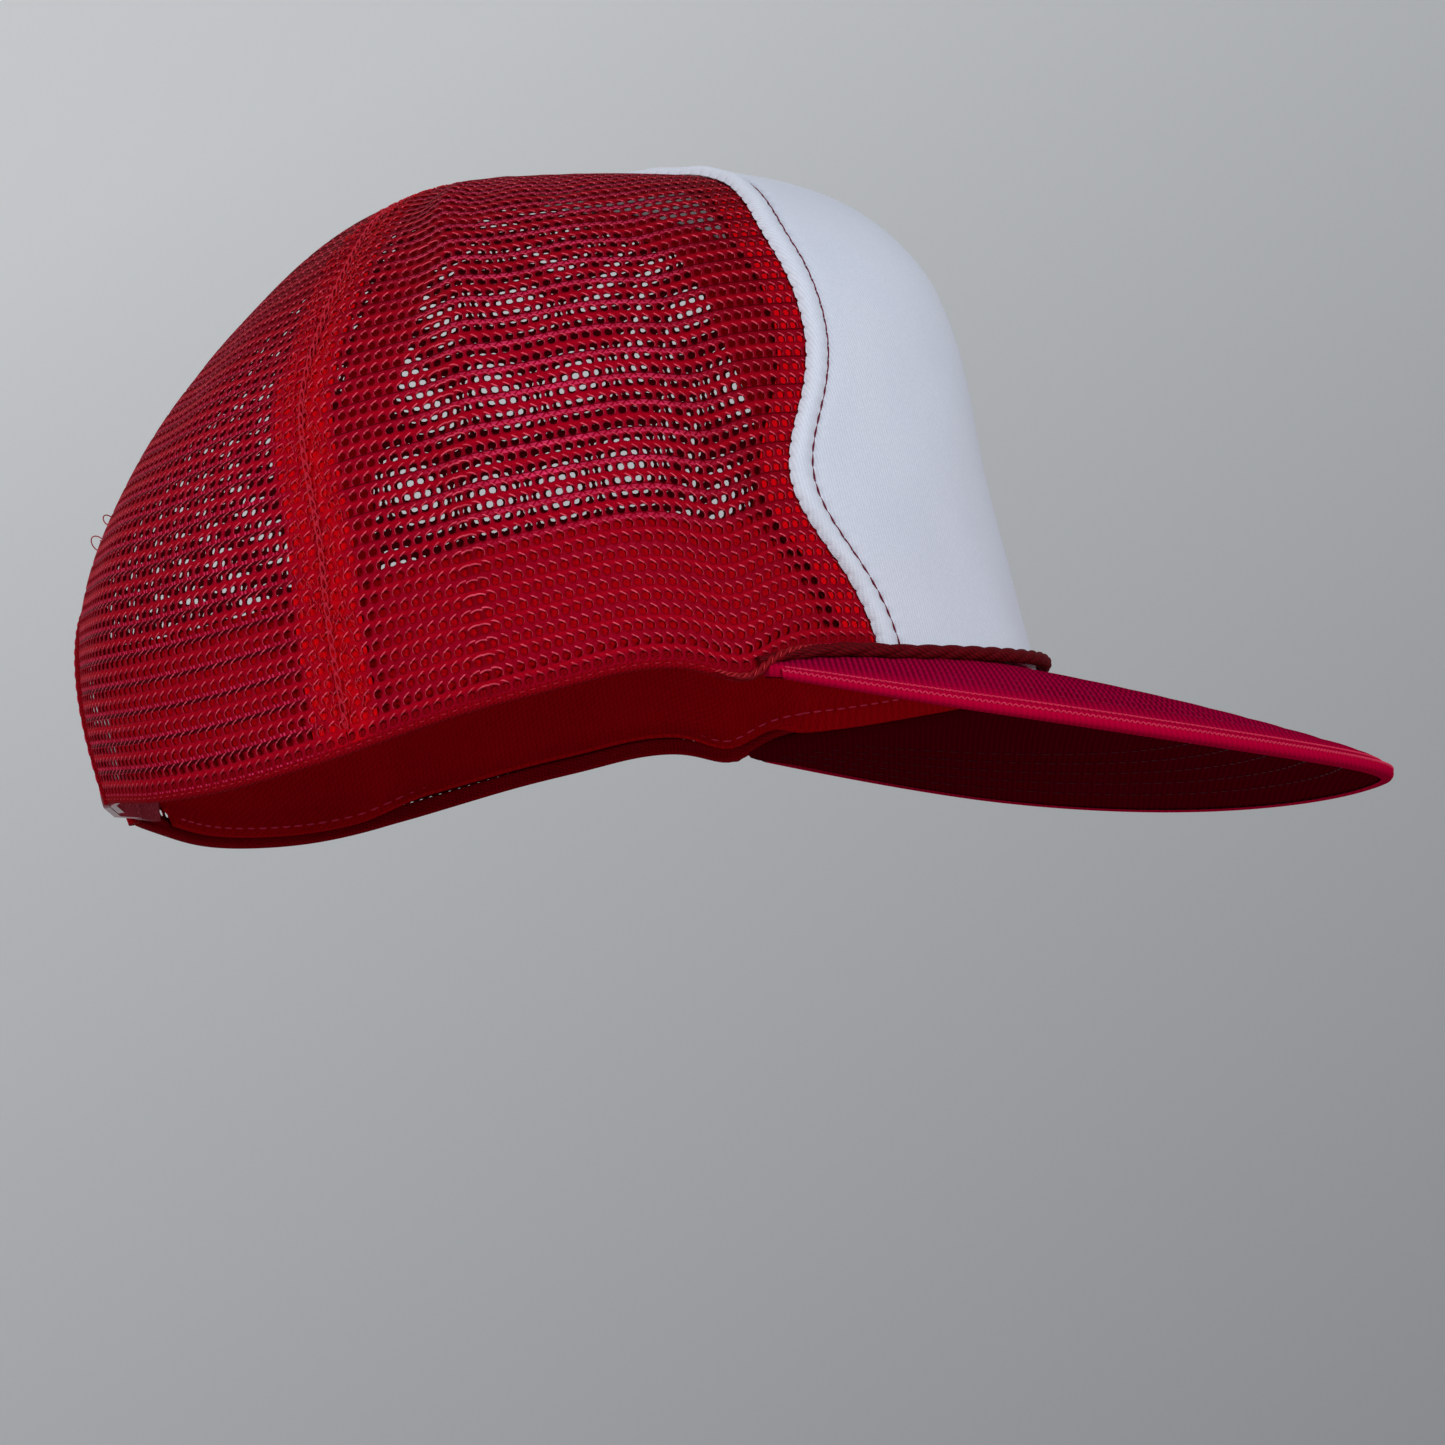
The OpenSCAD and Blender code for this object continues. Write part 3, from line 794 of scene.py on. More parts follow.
# Camera and studio: angles in degrees, places in metres, the sensor in millimetres
camera_tilt = -6.1
camera_roll = 8.8
camera_away = 1.0
aim_forward = 0.03039
aim_drop = 0.00177
sensor_width = 36.0
focal_pixels = 5000.0
picture_pixels = 1445.0
sweep_half = 7.0
sweep_near = -5.0
sweep_depth = 6.5
sweep_tall = 5.0
sweep_low = -1.2
sweep_bend = 1.5


def look():
    tilt = math.radians(camera_tilt)
    roll = math.radians(camera_roll)
    spot = Vector((0.0, -math.cos(tilt), math.sin(tilt))) * camera_away
    aim = Vector((aim_forward, 0.0, 0.0)) - Vector((0.0, math.sin(tilt), math.cos(tilt))) * aim_drop
    back = (spot - aim).normalized()
    side = (Vector((1.0, 0.0, 0.0)) - back * back.x).normalized()
    up = back.cross(side)
    right = side * math.cos(roll) - up * math.sin(roll)
    top = side * math.sin(roll) + up * math.cos(roll)
    lens = bpy.data.cameras.new("view")
    lens.sensor_width = sensor_width
    lens.lens = sensor_width * focal_pixels / picture_pixels
    lens.clip_start = 0.05
    lens.clip_end = 50.0
    camera = added("view", lens)
    turn = Matrix((right, top, back)).transposed().to_4x4()
    camera.matrix_world = Matrix.Translation(spot) @ turn
    bpy.context.scene.camera = camera


def lamp(name, spot, aim, size, power, tint):
    light = bpy.data.lights.new(name, "AREA")
    light.shape = "DISK"
    light.size = size
    light.energy = power
    light.color = tint
    piece = added(name, light)
    way = (Vector(spot) - Vector(aim)).to_track_quat("Z", "Y")
    piece.matrix_world = Matrix.Translation(Vector(spot)) @ way.to_matrix().to_4x4()


def lights():
    world = bpy.data.worlds.new("studio")
    world.use_nodes = True
    ground = world.node_tree.nodes["Background"]
    ground.inputs["Color"].default_value = (0.86, 0.92, 1.0, 1.0)
    ground.inputs["Strength"].default_value = 0.34
    bpy.context.scene.world = world
    lamp("sky", (-0.1, -0.5, 1.6), (0.02, 0.0, 0.03), 1.4, 0.8, (1.0, 0.99, 0.98))
    lamp("side", (1.2, -1.6, 0.36), (0.05, 0.0, 0.03), 0.9, 20.0, (0.95, 0.97, 1.0))
    lamp("fill", (-1.5, -1.1, 0.3), (0.0, 0.0, 0.03), 1.2, 12.0, (1.0, 0.98, 0.98))
    lamp("wall_wash", (-1.6, 0.9, 2.2), (-0.3, 3.0, 0.85), 1.6, 19.0, (1.0, 0.99, 0.98))


def backdrop():
    columns = 12
    rows = 48
    sweep, i, j = flat_grid("studio_sweep", columns, rows)
    x = lerp(-sweep_half, sweep_half, i / columns)
    run = j / rows
    flat = np.clip(run / 0.4, 0.0, 1.0)
    bend = np.clip((run - 0.4) / 0.25, 0.0, 1.0) * 90.0
    rise = np.clip((run - 0.65) / 0.35, 0.0, 1.0)
    y = sweep_near + sweep_depth * flat + sweep_bend * sind(bend)
    z = sweep_low + sweep_bend * (1.0 - cosd(bend)) + sweep_tall * rise
    put(sweep, np.stack([x, y, z], axis=-1))
    face_away(sweep, (0.0, 20.0, -20.0))
    smooth(sweep)
    f = Finish("pale_wall_painted_falloff")
    place = f.place()
    across, _, high = f.split(place)
    cloud = f.noise(place, 3.0)
    # Painted light falloff: the wall is lighter upward and toward negative x
    tone = f.blend(f.limit(high - across * 0.3, -0.6, 0.9), (180, 180, 180), (252, 252, 251))
    sweep.data.materials.append(f.close(tone, 0.85 + 0.05 * cloud, f.bump(cloud, 0.5, 0.1)))


look()
lights()
backdrop()
bpy.context.scene.view_settings.view_transform = "Standard"


# Net panels
def knit_sheet(name, columns, rows):
    """Knit a flat sheet of net: one round hole in its square of cloth, copied across and up."""
    bpy.ops.mesh.primitive_circle_add(vertices=8, radius=1.0, fill_type="NGON")
    piece = bpy.context.active_object
    rename(piece, name)
    way = np.sign(np.rint(points_of(piece) * 4.0))
    put(piece, way * np.array([net_pitch / 2.0, net_row / 2.0, 0.0]))
    begin_edit(piece)
    bpy.ops.mesh.inset(thickness=0.1)
    bpy.ops.mesh.delete(type="FACE")
    end_edit()
    spot = points_of(piece)
    hole = (np.abs(spot[:, 0]) < net_pitch / 2.0 - 0.02) & (np.abs(spot[:, 1]) < net_row / 2.0 - 0.02)
    way = np.sign(np.rint(spot * 4.0))
    round_way = way / np.maximum(1.0, np.linalg.norm(way, axis=1, keepdims=True)) ** 0.8
    spot[hole] = round_way[hole] * np.array([net_hole_half, net_hole_half, 0.0])
    put(piece, spot)
    begin_edit(piece)
    bpy.ops.mesh.duplicate_move(TRANSFORM_OT_translate={"value": (net_pitch / 2.0, net_row, 0.0)})
    end_edit()
    runs = (("across", columns, (net_pitch, 0.0, 0.0)), ("upward", rows // 2, (0.0, 2.0 * net_row, 0.0)))
    for label, count, step in runs:
        copies = piece.modifiers.new(label, "ARRAY")
        copies.count = count
        copies.use_relative_offset = False
        copies.use_constant_offset = True
        copies.constant_offset_displace = step
        use(piece, copies)
    merge(piece, 0.02)
    return piece


def lay_on_crown(across, along, middle):
    """Angles on the crown of the points of a flat sheet whose middle lies on a meridian."""
    rises = np.linspace(0.0, 89.6, 300)
    run = run_of(plain_crown(np.full(300, middle), rises))
    psi = np.interp(along, run, rises)
    phi = np.empty_like(psi)
    turns = np.linspace(middle - 80.0, middle + 80.0, 161)
    level = np.rint(along * 200.0).astype(int)
    order = np.argsort(level, kind="stable")
    cuts = np.flatnonzero(np.diff(level[order])) + 1
    for row in np.split(order, cuts):
        length = run_of(plain_crown(turns, np.full(161, psi[row[0]])))
        phi[row] = np.interp(across[row], length - length[80], turns)
    return phi, psi


def nearest_hole(centre, start):
    """Middle of the hole that each face of the flat net lies round."""
    best = np.full(len(centre), 1e9)
    home = np.zeros((len(centre), 2))
    for step in (0, 1):
        row = np.floor(centre[:, 1] / net_row) + step
        shift = start + np.mod(row, 2.0) * net_pitch / 2.0
        column = np.rint((centre[:, 0] - shift) / net_pitch) * net_pitch + shift
        gap = np.hypot(centre[:, 0] - column, centre[:, 1] - row * net_row)
        near = gap < best
        best[near] = gap[near]
        home[near] = np.stack([column, row * net_row], axis=-1)[near]
    return home


def net_panel(panel, side, middle, columns, keep, low_edge, high_edge):
    piece = knit_sheet(panel + "_net", columns, net_rows)
    start = -net_pitch * (columns - 1) / 2.0
    flat = points_of(piece) + np.array([start, 0.0, 0.0])
    put(piece, flat)
    lay_uv(piece, (flat[:, 0] - start) / net_pitch, flat[:, 1] / net_row)
    home = nearest_hole(faces_of(piece)[1], start)
    phi, psi = lay_on_crown(home[:, 0], home[:, 1], middle)
    cut_faces(piece, ~keep(phi, psi))
    flat = points_of(piece)
    phi, psi = lay_on_crown(flat[:, 0], flat[:, 1], middle)
    phi = np.clip(phi, low_edge(psi), high_edge(psi))
    from_seam = (phi - side_seam(psi)) / degrees_for(1.0, phi, psi)
    piece.data.attributes.new("seam_gap", "FLOAT", "POINT").data.foreach_set("value", from_seam)
    flat_row = (np.abs(flat[:, 1] / net_row % 2.0 - 0.5) < 0.02) * ribbon_sink
    put(piece, crown(phi, np.minimum(psi, panel_top), 0.1 + flat_row) * mirror(side) * MM)
    face_away(piece, in_crown)
    thicken(piece, strand_thick)
    smooth(piece, 100.0)
    dress(piece, red_net, "red_net", panel + "_mesh")
    # Faces turned into the crown take the darker copy, painted shade inside the cap
    piece.data.materials.append(shaded_net_inside)
    normal, centre = faces_of(piece)
    inward = (normal * unit(centre - np.array(in_crown))).sum(axis=1) < -0.5
    piece.data.polygons.foreach_set("material_index", inward.astype(np.int32))


def side_low(psi):
    return past_front(psi, -0.8)


def back_high(psi):
    return 180.0 - degrees_for(0.1, 179.0, psi)


def in_side(phi, psi):
    return (psi > net_low) & (psi < panel_top) & (phi > side_low(psi)) & (phi < side_seam(psi))


def in_back(phi, psi):
    clear = (phi < 180.0) & (arch_share(phi, psi) > 0.93)
    return (psi > net_low) & (psi < panel_top) & (phi > side_seam(psi)) & clear


for side, hand in both_hands:
    net_panel(hand + "_side", side, side_net_middle, side_net_columns, in_side, side_low, side_seam)
    net_panel(hand + "_back", side, back_net_middle, back_net_columns, in_back, side_seam, back_high)

# Front panel: puffy welt along the seams, groove with stitches, knit face
welt_away = np.array([0.0, 0.25, 0.6, 1.1, 1.8, 2.6, 3.4, 4.1, 4.6, 5.0, 5.4, 5.9, 6.8, 8.4, 10.5])
welt_lift = np.array([-1.0, -0.55, -0.1, 0.35, 0.65, 0.72, 0.5, 0.0, -0.42, -0.6, -0.42, -0.1,
                      0.06, 0.06, 0.0])


def front_half(psi):
    return front_seam(psi) / degrees_for(1.0, front_seam(psi), psi)


def welt_share(psi):
    """Share of the welt's width that is left where the panel narrows to its point."""
    return np.minimum(1.0, front_half(psi) / welt_room)


def front_panel():
    columns = 64
    rows = 420
    edge = len(welt_away)
    piece, i, j = flat_grid("front_face", columns, rows)
    rises = even_rise(np.arange(rows + 1) / rows, front_meridian, front_low, panel_top)
    along = run_of(plain_crown(np.full(rows + 1, front_meridian), rises))[j]
    psi = rises[j]
    seam = front_seam(psi)
    per_mm = degrees_for(1.0, seam, psi)
    from_edge = np.minimum(i, columns - i)
    on_welt = from_edge < edge
    slot = np.minimum(from_edge, edge - 1)
    hand = np.where(i < columns / 2.0, -1.0, 1.0)
    inner = seam - welt_away[-1] * welt_share(psi) * per_mm
    middle = lerp(-inner, inner, (i - (edge - 1)) / (columns - 2.0 * (edge - 1)))
    bite = np.clip(np.cos(along * 2.0 * math.pi / front_pitch), 0.0, 1.0) ** 4
    away = welt_away[slot] * welt_share(psi) + 0.4 * bite * np.clip(1.0 - from_edge / 3.0, 0.0, 1.0)
    phi = np.where(on_welt, hand * (seam - away * per_mm), middle)
    lift = np.where(on_welt, welt_lift[slot], 0.0)
    pucker = 0.14 * np.cos(along * 2.0 * math.pi / front_pitch) * bell((welt_away[slot] - 4.8) / 1.0)
    lump = 0.12 * np.sin(along * 0.55 + 1.3 * hand) * bell((welt_away[slot] - 2.2) / 1.4)
    lift = lift * np.minimum(1.0, front_half(psi) / 8.0) + np.where(on_welt, pucker + lump, 0.0)
    low_wave = 0.28 * np.sin(phi * 0.33 + psi * 0.22 + 0.6) * bell((psi - 9.0) / 7.0)
    high_wave = 0.16 * np.sin(phi * 0.17 - psi * 0.31) * bell((psi - 24.0) / 9.0)
    lift = lift + (low_wave + high_wave) * ease((from_edge - edge + 3.0) / 8.0)
    sheet(piece, off_crown(phi, psi, front_proud - sink(psi) + lift), phi / per_mm, along, 0.5)
    dress(piece, white_knit, "white_knit", "front_panel_face")


def front_topstitch():
    rows = []
    rises = even_rise(np.linspace(0.004, 0.97, 400), front_meridian, front_low, panel_top)
    seam = front_seam(rises)
    for hand in (-1.0, 1.0):
        turn = hand * (seam - 5.0 * welt_share(rises) * degrees_for(1.0, seam, rises))
        line = plain_crown(turn, rises)
        spots, share = spaced(line, front_pitch)
        at = np.interp(share, run_of(line) / run_of(line)[-1], rises)
        out = crown_normal(np.interp(at, rises, turn), at)
        rows.append((spots + (front_proud - sink(at) - 0.5)[:, None] * out, along_of(spots), out))
    sewn("front_topstitch", stitch_model(3.3, 0.42, 0.45), rows, front_thread, "red_cloth")


def front_foam():
    columns = 40
    rows = 70
    piece, i, j = flat_grid("front_foam", columns, rows)
    psi = even_rise(j / rows, front_meridian, 0.4, panel_top - 0.8)
    phi = lerp(-1.0, 1.0, i / columns) * past_front(psi, -1.3)
    sheet(piece, off_crown(phi, psi, -(foam_top + sink(psi))), phi, psi, foam_thick)
    dress(piece, white_foam, "white_foam", "front_panel_foam")


front_panel()
front_topstitch()
front_foam()


# Tapes, seam stitches and folded edges
def strip(name, low_psi, high_psi, middle, half_wide, depth, thick, side=1.0, crownness=0.25, sinks=0.0):
    columns = 6
    rows = 60
    piece, i, j = flat_grid(name, columns, rows)
    psi = lerp(low_psi, high_psi, j / rows)
    line = middle(psi)
    share = lerp(-1.0, 1.0, i / columns)
    phi = line + share * degrees_for(half_wide, line, psi)
    rise = crownness * (1.0 - np.square(share))
    spot = crown(phi, psi, depth + rise - crownness + sinks * sink(psi)) * mirror(side)
    rises = np.linspace(low_psi, high_psi, rows + 1)
    run = run_of(plain_crown(np.full(rows + 1, side_meridian), rises))
    sheet(piece, spot, share * half_wide, run[j], thick)
    return piece


def chain_stitch(name, middle, low_psi, high_psi, side=1.0):
    rises = even_rise(np.linspace(0.0, 1.0, 400), side_meridian, low_psi, high_psi)
    turn = middle(rises)
    line = crown(turn, rises, -0.15) * mirror(side)
    row = stitch_row(line, crown_normal(turn, rises) * mirror(side), chain_pitch)
    sewn(name, loop_model(chain_pitch, 0.9, 0.34), [row], pink_thread, "red_tape")


def flecks(count, middle, half_wide, low_psi, high_psi, side, seed):
    """Short ends of yarn at random spots and slants, over the net that a seam doubles."""
    chance = np.random.default_rng(seed)
    psi = even_rise(chance.random(count), side_meridian, low_psi, high_psi)
    phi = middle(psi) + chance.uniform(-half_wide, half_wide, count) * degrees_for(1.0, middle(psi), psi)
    out = crown_normal(phi, psi)
    upward = unit(plain_crown(phi, psi + 0.5) - plain_crown(phi, psi - 0.5))
    along = unit(upward + chance.uniform(-0.9, 0.9, count)[:, None] * np.cross(out, upward))
    return crown(phi, psi, -0.02) * mirror(side), along * mirror(side), out * mirror(side)


def front_allowance(psi):
    return past_front(psi, 2.6)


def tapes(side, hand):
    piece = strip(hand + "_front_tape", tape_low, 80.0, front_seam, tape_half, front_tape_depth,
                  tape_thick, side, sinks=1.0)
    dress(piece, red_tape, "red_tape", hand + "_front_seam_tape")
    piece = strip(hand + "_side_tape", tape_low, 76.0, side_seam, tape_half, side_tape_depth,
                  tape_thick, side)
    dress(piece, red_tape, "red_tape", hand + "_side_seam_tape")
    piece = strip(hand + "_front_allowance", 1.0, 86.0, front_allowance, 3.4, allowance_depth,
                  allowance_thick, side, crownness=0.1)
    dress(piece, seam_cloth, "red_tape")
    piece = strip(hand + "_side_allowance", tape_low, 84.0, side_seam, 6.4, allowance_depth,
                  allowance_thick, side, crownness=0.1)
    dress(piece, seam_cloth, "red_tape")
    chain_stitch(hand + "_side_chainstitch", side_seam, 2.4, 84.0, side)
    ends = flecks(340, side_seam, 5.6, 2.6, 80.0, side, seed=7)
    sewn(hand + "_side_flecks", stitch_model(1.3, 0.24, 0.2), [ends], pink_thread, "red_tape")
    fuzz = flecks(620, side_seam, 5.4, 2.6, 82.0, side, seed=11)
    sewn(hand + "_side_fuzz", stitch_model(1.0, 0.3, 0.24), [fuzz], seam_thread, "red_tape")


def back_seam():
    piece = strip("back_tape", arch_rise + 0.6, 83.0, centre_back, tape_half, side_tape_depth, tape_thick)
    dress(piece, red_tape, "red_tape", "center_back_seam_tape")
    chain_stitch("back_chainstitch", centre_back, arch_rise + 0.4, 86.0)


def top_patch():
    """A small round of cloth under the point where all the seams meet."""
    columns = 48
    rows = 5
    piece, i, j = flat_grid("crown_point_patch", columns, rows)
    phi = i / columns * 360.0 - 180.0
    psi = lerp(89.5, 82.0, j / rows)
    spot = off_crown(phi, psi, -0.75)
    spot = np.where((j == 0)[:, None], spot[j == 0].mean(axis=0), spot)
    sheet(piece, spot, phi * 0.1, psi, 0.4, closed=True)
    dress(piece, red_cloth, "red_tape")


def hem(side, hand):
    count = 120
    turns = np.linspace(front_seam(hem_rise) + 0.3, 180.0 - arch_half, count)
    foot = crown(turns, np.zeros(count), hem_depth) * mirror(side)
    crest = crown(turns, np.full(count, hem_rise), hem_depth) * mirror(side)
    out = crown_normal(turns, np.full(count, 0.9)) * mirror(side)
    up = unit(crest - foot)
    tall = np.linalg.norm(crest - foot, axis=1).mean()
    turn = np.linspace(0.0, 360.0, 28, endpoint=False)
    high = tall / 2.0 * (1.0 + np.sign(sind(turn)) * np.abs(sind(turn)) ** 0.7)
    wide = (0.5 + 0.4 * bell((high - 0.6) / 0.5)) * np.sign(cosd(turn)) * np.abs(cosd(turn)) ** 0.55
    piece = swept(hand + "_folded_hem", foot, out, up, np.stack([wide, high], axis=-1))
    dress(piece, red_cloth, "red_cloth", hand + "_hem")
    row = stitch_row(foot + 0.85 * out + 1.05 * up, out, 2.14)
    sewn(hand + "_hem_stitch", stitch_model(1.1, 0.22, 0.3), [row], pink_thread, "red_cloth")


def arch_binding():
    turn = np.linspace(0.0, 180.0, 90)
    share = (arch_clear + 0.98) / 2.0
    phi = 180.0 - arch_half * share * cosd(turn)
    psi = np.maximum(arch_rise * share * sind(turn), 0.0)
    path = off_crown(phi, psi, -0.5)
    normal = crown_normal(phi, psi)
    across = unit(np.cross(normal, along_of(path)))
    piece = swept("arch_binding", path, across, normal, ring(16, 1.75, 1.2))
    dress(piece, red_cloth, "red_cloth", "back_arch_binding")
    row = stitch_row(path + 1.15 * normal, normal, 2.8)
    sewn("arch_stitch", stitch_model(2.1, 0.45, 0.4), [row], bright_thread, "red_cloth")


def sweat_foot(phi):
    by_ear = lerp(sweat_front_low, sweat_low, ease((np.abs(phi) - 58.0) / 16.0))
    return lerp(by_ear, sweat_front_low, ease((np.abs(phi) - 112.0) / 12.0))


def sweat_depth(phi, psi):
    over_tape = 1.5 * bell((np.abs(phi) - side_seam(psi)) / 3.6)
    over_hem = 1.4 * (1.0 - ease((psi - 1.9) / 1.3))
    on_net = ease((np.abs(phi) - front_seam(psi) - 4.6) / 2.4)
    return lerp(sweat_front, sweat_side + over_tape + over_hem, on_net)


def sweat_band():
    columns = 200
    rows = 12
    piece, i, j = flat_grid("sweatband_strip", columns, rows)
    phi = lerp(-sweat_end, sweat_end, i / columns)
    share = j / rows
    psi = lerp(sweat_foot(phi), sweat_high, share)
    roll = 0.3 * np.square(2.0 * share - 1.0)
    spot = crown(phi, psi, sweat_depth(phi, psi) + roll)
    folded = off_crown(phi, np.full_like(phi, 0.15), -lerp(0.4, 3.0, j / 2.0))
    near = ((1.0 - ease((np.abs(phi) - 52.0) / 8.0)) * (j < 2))[:, None]
    turns = np.linspace(-sweat_end, sweat_end, columns + 1)
    run = run_of(plain_crown(turns, np.full(columns + 1, 10.0)))
    sheet(piece, lerp(spot, folded, near), run[i], share * 24.0, sweat_thick, (0.0, 0.0, 0.0))
    dress(piece, sweat_cloth, "red_cloth", "sweatband")
    turns = np.linspace(-sweat_end + 1.0, sweat_end - 1.0, 500)
    rows = []
    for level in (sweat_foot(turns) + 0.9, np.full(500, sweat_high - 0.9)):
        line = crown(turns, level, sweat_depth(turns, level) + 1.35)
        rows.append(stitch_row(line, -crown_normal(turns, level), 3.0))
    sewn("sweatband_stitch", stitch_model(2.2, 0.45, 0.4), rows, bright_thread, "red_cloth")


def loose_threads():
    """Two loops of thread that stand off the back seam above the arch."""
    strands = []
    for rise, side, wide, turn in ((29.0, 0.4, 1.5, 400.0), (31.5, -0.5, 1.1, 300.0)):
        t = np.linspace(0.0, 1.0, 40)
        out = crown_normal(np.array(180.0), np.array(rise))
        path = plain_crown(180.0, rise) + (wide * (1.0 - cosd(turn * t)) + 1.2 * t)[:, None] * out
        path[:, 1] += side * 3.0 * t
        path[:, 2] += wide * sind(turn * t)
        along = along_of(path)
        beside = unit(np.cross(along, np.broadcast_to([0.0, 1.0, 0.0], along.shape)))
        strands.append(swept("loose_thread", path, beside, np.cross(along, beside), ring(5, 0.13, 0.13)))
    dress(joined("loose_threads", strands), pink_thread, "red_tape")


for side, hand in both_hands:
    tapes(side, hand)
back_seam()
top_patch()
loose_threads()
for side, hand in both_hands:
    hem(side, hand)
arch_binding()
sweat_band()

# Bill: a ramp from the rim to its outline, s from temple to temple, r from rim to edge
stitch_rows = (1.1, 9.5, 16.0, 22.5, 29.0, 35.5)
edge_away = np.array([0.25, 0.6, 0.85, 0.98, 0.95, 0.75, 0.35, -0.6, -1.6])
edge_up = np.array([0.78, 0.5, 0.1, -0.4, -0.85, -1.3, -1.66, -1.8, -1.8])


def bill_outline(s):
    k = np.abs(s) / 0.8
    a = 90.0 * np.minimum(1.0, k)
    u = np.maximum(0.0, (np.abs(s) - 0.8) / 0.2)
    power = 2.0 / bill_roundness
    round_x = lerp(bill_wide_x, bill_tip, np.clip(cosd(a), 0.0, 1.0) ** power)
    round_y = bill_half * np.clip(sind(a), 0.0, 1.0) ** power
    x = np.where(k <= 1.0, round_x, lerp(bill_wide_x, corner_x, u))
    y = np.where(k <= 1.0, round_y, lerp(bill_half, corner_y, u * u))
    return np.stack([x, np.sign(s) * y], axis=-1)


def bill_taper(s):
    return lerp(0.8, 1.0, ease((1.0 - np.abs(s)) / 0.22))


def bill_edge(s):
    flat = bill_outline(s)
    run = (flat[..., 0] - corner_x) / (bill_tip - corner_x)
    fall = 1.0 - np.maximum(0.0, 1.0 - run) ** 1.4
    z = -bill_corner_drop - (bill_drop - bill_corner_drop) * fall
    return np.concatenate([flat, z[..., None]], axis=-1)


def bill_root(s):
    phi = bill_angle * s
    r = rim_radius(phi) - 0.5
    z = root_height(phi) - 0.25 - bill_half_thick * bill_taper(s)
    return np.stack([r * cosd(phi), r * sind(phi), z], axis=-1)


def bill_reach(s):
    return np.linalg.norm(bill_edge(s) - bill_root(s), axis=-1)


def bill_point(s, r, up):
    spot = lerp(bill_root(s), bill_edge(s), np.asarray(r)[..., None])
    spot[..., 2] += up + bill_camber * 4.0 * r * (1.0 - r) * (1.0 - s * s)
    return spot


def bill_away(s):
    step = bill_outline(np.minimum(1.0, s + 0.01)) - bill_outline(np.maximum(-1.0, s - 0.01))
    flat = np.stack([step[..., 1], -step[..., 0], np.zeros_like(s)], axis=-1)
    return unit(flat)


def bill_skin(s, gap):
    return (bill_half_thick - 0.9 * np.square(np.clip(1.0 - gap / 3.0, 0.0, 1.0))) * bill_taper(s)


def quilting(gap, reach):
    return sum(bell((gap - row) / 0.45) * (reach > row + quilt_clear) for row in stitch_rows)


def even_bill(count):
    fine = np.linspace(-1.0, 1.0, 2001)
    run = run_of(bill_edge(fine))
    return np.interp(np.linspace(0.0, run[-1], count), run, fine), run[-1]


def bill_top():
    columns = 220
    rows = 110
    piece, i, j = flat_grid("bill_top_cloth", columns, rows + len(edge_away))
    s_of, length = even_bill(columns + 1)
    s = s_of[i]
    reach = bill_reach(s)
    r = np.minimum(1.0, j / rows)
    gap = (1.0 - r) * reach
    swell = 0.12 * np.cos(2.0 * math.pi * (gap - 3.0) / 6.5) * ease((gap - 1.0) / 3.0)
    top = bill_point(s, r, bill_skin(s, gap) - 0.32 * quilting(gap, reach) - swell)
    turned = np.maximum(0, j - rows - 1)
    wrap = bill_edge(s) + edge_away[turned][:, None] * bill_away(s)
    wrap[:, 2] += edge_up[turned] * bill_taper(s)
    spot = np.where((j <= rows)[:, None], top, wrap)
    from_edge = np.where(j <= rows, gap, -1.0 * turned * 0.6)
    sheet(piece, spot, i / columns * length, from_edge, bill_cloth_thick, under_bill)
    dress(piece, bill_red, "red_cloth", "bill_top_cover")


def bill_under():
    columns = 180
    rows = 90
    piece, i, j = flat_grid("bill_under_cloth", columns, rows)
    s_of, length = even_bill(columns + 1)
    s = s_of[i]
    reach = bill_reach(s)
    r = j / rows * 0.985
    gap = (1.0 - r) * reach
    spot = bill_point(s, r, 0.25 * quilting(gap, reach) - bill_half_thick * bill_taper(s))
    sheet(piece, spot, i / columns * length, gap, bill_cloth_thick, over_bill)
    dress(piece, bill_lining_painted_shade, "dark_red_cloth", "bill_bottom_cover")


def bill_board():
    columns = 80
    rows = 24
    piece, i, j = flat_grid("bill_stiff_board", columns, rows)
    s = lerp(-0.93, 0.93, i / columns)
    spot = bill_point(s, j / rows * (1.0 - 3.2 / bill_reach(s)), 0.45)
    sheet(piece, spot, s * 100.0, j * 2.0, 0.9, under_bill)
    dress(piece, pale_board, "stiff_board", "bill_board")


def slanted(spots, along, normal):
    """Lean the stitches of a row by turns to the left and right, as a zigzag seam does."""
    lean = np.where(np.arange(len(spots)) % 2, 0.9, -0.9)[:, None]
    return spots, unit(along + lean * np.cross(normal, along)), normal


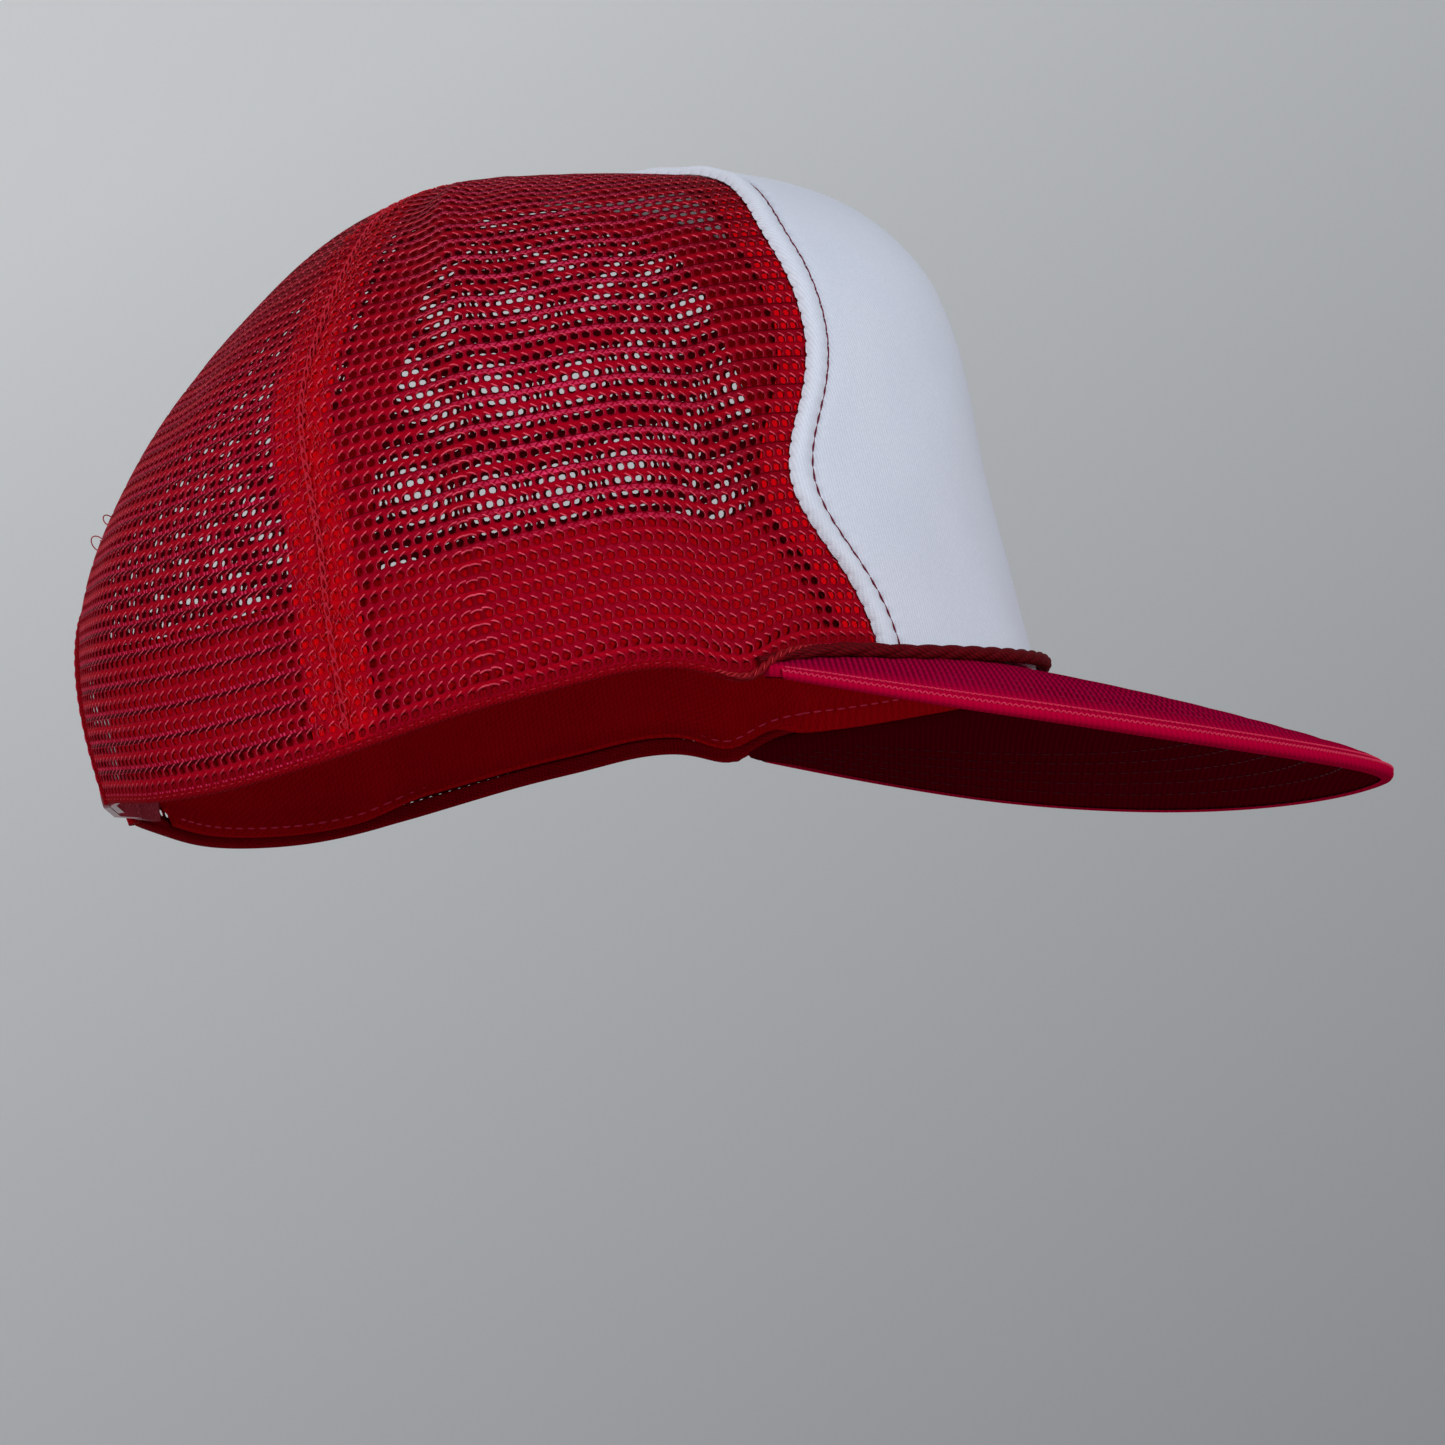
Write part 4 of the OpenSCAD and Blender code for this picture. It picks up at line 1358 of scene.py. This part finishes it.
def bill_stitches():
    fine = np.linspace(-1.0, 1.0, 1601)
    reach = bill_reach(fine)
    edge = []
    top = []
    under = []
    for row in stitch_rows:
        at_edge = row == stitch_rows[0]
        near = fine[reach > row + quilt_clear]
        r = 1.0 - row / reach[reach > row + quilt_clear]
        slope = bill_point(near, r + 0.01, 0.0) - bill_point(near, r - 0.01, 0.0)
        line = bill_point(near, r, bill_skin(near, row) - (0.2 if at_edge else 0.34))
        normal = unit(np.cross(slope, along_of(line)))
        normal = normal * np.sign(normal[:, 2:])
        if at_edge:
            away = bill_away(near)
            lip = bill_edge(near) + 0.92 * away
            lip[:, 2] += 0.15 * bill_taper(near)
            edge.append(slanted(*stitch_row(line, normal, 0.56)))
            edge.append(slanted(*stitch_row(lip, away, 0.56)))
        else:
            top.append(stitch_row(line, normal, 3.0))
        lower = bill_point(near, r, 0.12 - bill_half_thick * bill_taper(near))
        under.append(stitch_row(lower, -normal, 3.0))
    sewn("bill_edge_stitch", stitch_model(0.95, 0.34, 0.42), edge, bright_thread, "red_cloth")
    sewn("bill_top_stitch", stitch_model(2.5, 0.45, 0.4), top, bill_thread, "red_cloth")
    sewn("bill_under_stitch", stitch_model(2.4, 0.45, 0.36), under, under_bill_thread_painted_shade, "dark_red_cloth")


def bill_fold(name, path, profile):
    up = np.broadcast_to([0.0, 0.0, 1.0], path.shape)
    return swept(name, path, unit(np.cross(along_of(path), up)), up, profile)


def bill_folds():
    """Turned cloth at both corners and along the root of the bill."""
    pieces = []
    for hand in (-1.0, 1.0):
        path = bill_point(np.full(8, hand), np.linspace(0.0, 1.0, 8), 0.0)
        pieces.append(bill_fold("bill_corner", path, ring(14, 0.8, 1.15)))
    corners = joined("bill_corner_folds", pieces)
    count = len(corners.data.vertices)
    lay_uv(corners, np.zeros(count), np.full(count, -1.0))
    dress(corners, bill_red, "red_cloth")
    s = np.linspace(-1.0, 1.0, 160)
    profile = ring(14, 0.75, 1.82) * np.stack([np.ones(160), bill_taper(s)], axis=-1)[:, None, :]
    piece = bill_fold("bill_root_fold", bill_point(s, np.zeros(160), 0.0), profile)
    dress(piece, bill_lining_painted_shade, "dark_red_cloth")


# Rope of three strands along the foot of the front
def rope_height(phi):
    return rope_lift * bell(phi / 15.0) - 0.25 + 0.5 * ease((np.abs(phi) - 42.0) / 14.0)


def twisted(name, core, lay, offset, radius):
    """Three strands laid round one line."""
    along = along_of(core)
    out = unit(np.cross(along, np.broadcast_to([0.0, 0.0, 1.0], along.shape)))
    up = np.cross(out, along)
    strands = []
    for k in range(3):
        twist = run_of(core) * 360.0 / lay + 120.0 * k
        path = core + offset[:, None] * (cosd(twist)[:, None] * out + sind(twist)[:, None] * up)
        strands.append(swept("strand", path, out, up, ring(12, 1.0, 1.0) * radius[:, None, None]))
    return joined(name, strands)


def rope():
    turns = np.linspace(-bill_angle - 1.0, bill_angle + 1.0, 460)
    end = ease((np.abs(turns) - 50.0) / 13.0)
    proud = lerp(front_proud, 0.6, ease((np.abs(turns) - 44.0) / 12.0)) - 1.7 * end
    core = off_crown(turns, np.zeros_like(turns), proud + 0.3 + rope_radius)
    core[:, 2] = root_height(turns) + rope_height(turns)
    piece = twisted("twisted_rope", core, rope_lay, np.full_like(turns, 0.45), 1.0 - 0.4 * end)
    dress(piece, rope_yarn, "dark_red_rope", "rope")


def gathered_edge(side, hand):
    """The net's drawn-in edge, rolled up round the corner of the bill."""
    count = 90
    turns = np.linspace(54.0, 70.0, count)
    foot = np.zeros_like(turns)
    outward = crown_normal(turns, foot)
    core = off_crown(turns, foot, 1.1)
    by_rope = root_height(turns) + rope_height(turns) + 0.9
    core[:, 2] = lerp(by_rope, rim_height(turns) + 0.8, ease((turns - 58.0) / 8.0))
    slim = np.sqrt(np.clip(1.0 - np.square(np.linspace(-1.0, 1.0, count)), 0.02, 1.0))
    piece = twisted(hand + "_gathered_edge", core * mirror(side), 6.5, 0.45 * slim, 0.42 * slim)
    dress(piece, gathered_yarn, "red_tape")
    line = (core + (0.7 * slim)[:, None] * outward) * mirror(side)
    spots, along, normal = stitch_row(line, outward * mirror(side), 1.05)
    # Coral flecks along the gathered edge: painted glints made as short slanted marks
    ends = (spots, unit(along - 0.8 * side * np.cross(normal, along)), normal)
    sewn(hand + "_gathered_painted_glints", stitch_model(1.4, 0.22, 0.2), [ends], painted_glint_yarn, "red_tape")


bill_top()
bill_under()
bill_board()
bill_stitches()
bill_folds()
rope()
for side, hand in both_hands:
    gathered_edge(side, hand)

# Solids that keep their shape
for name in ("peg_strap_end", "hole_strap_end", "peg_strap", "hole_strap"):
    paint(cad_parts[name], red_plastic)
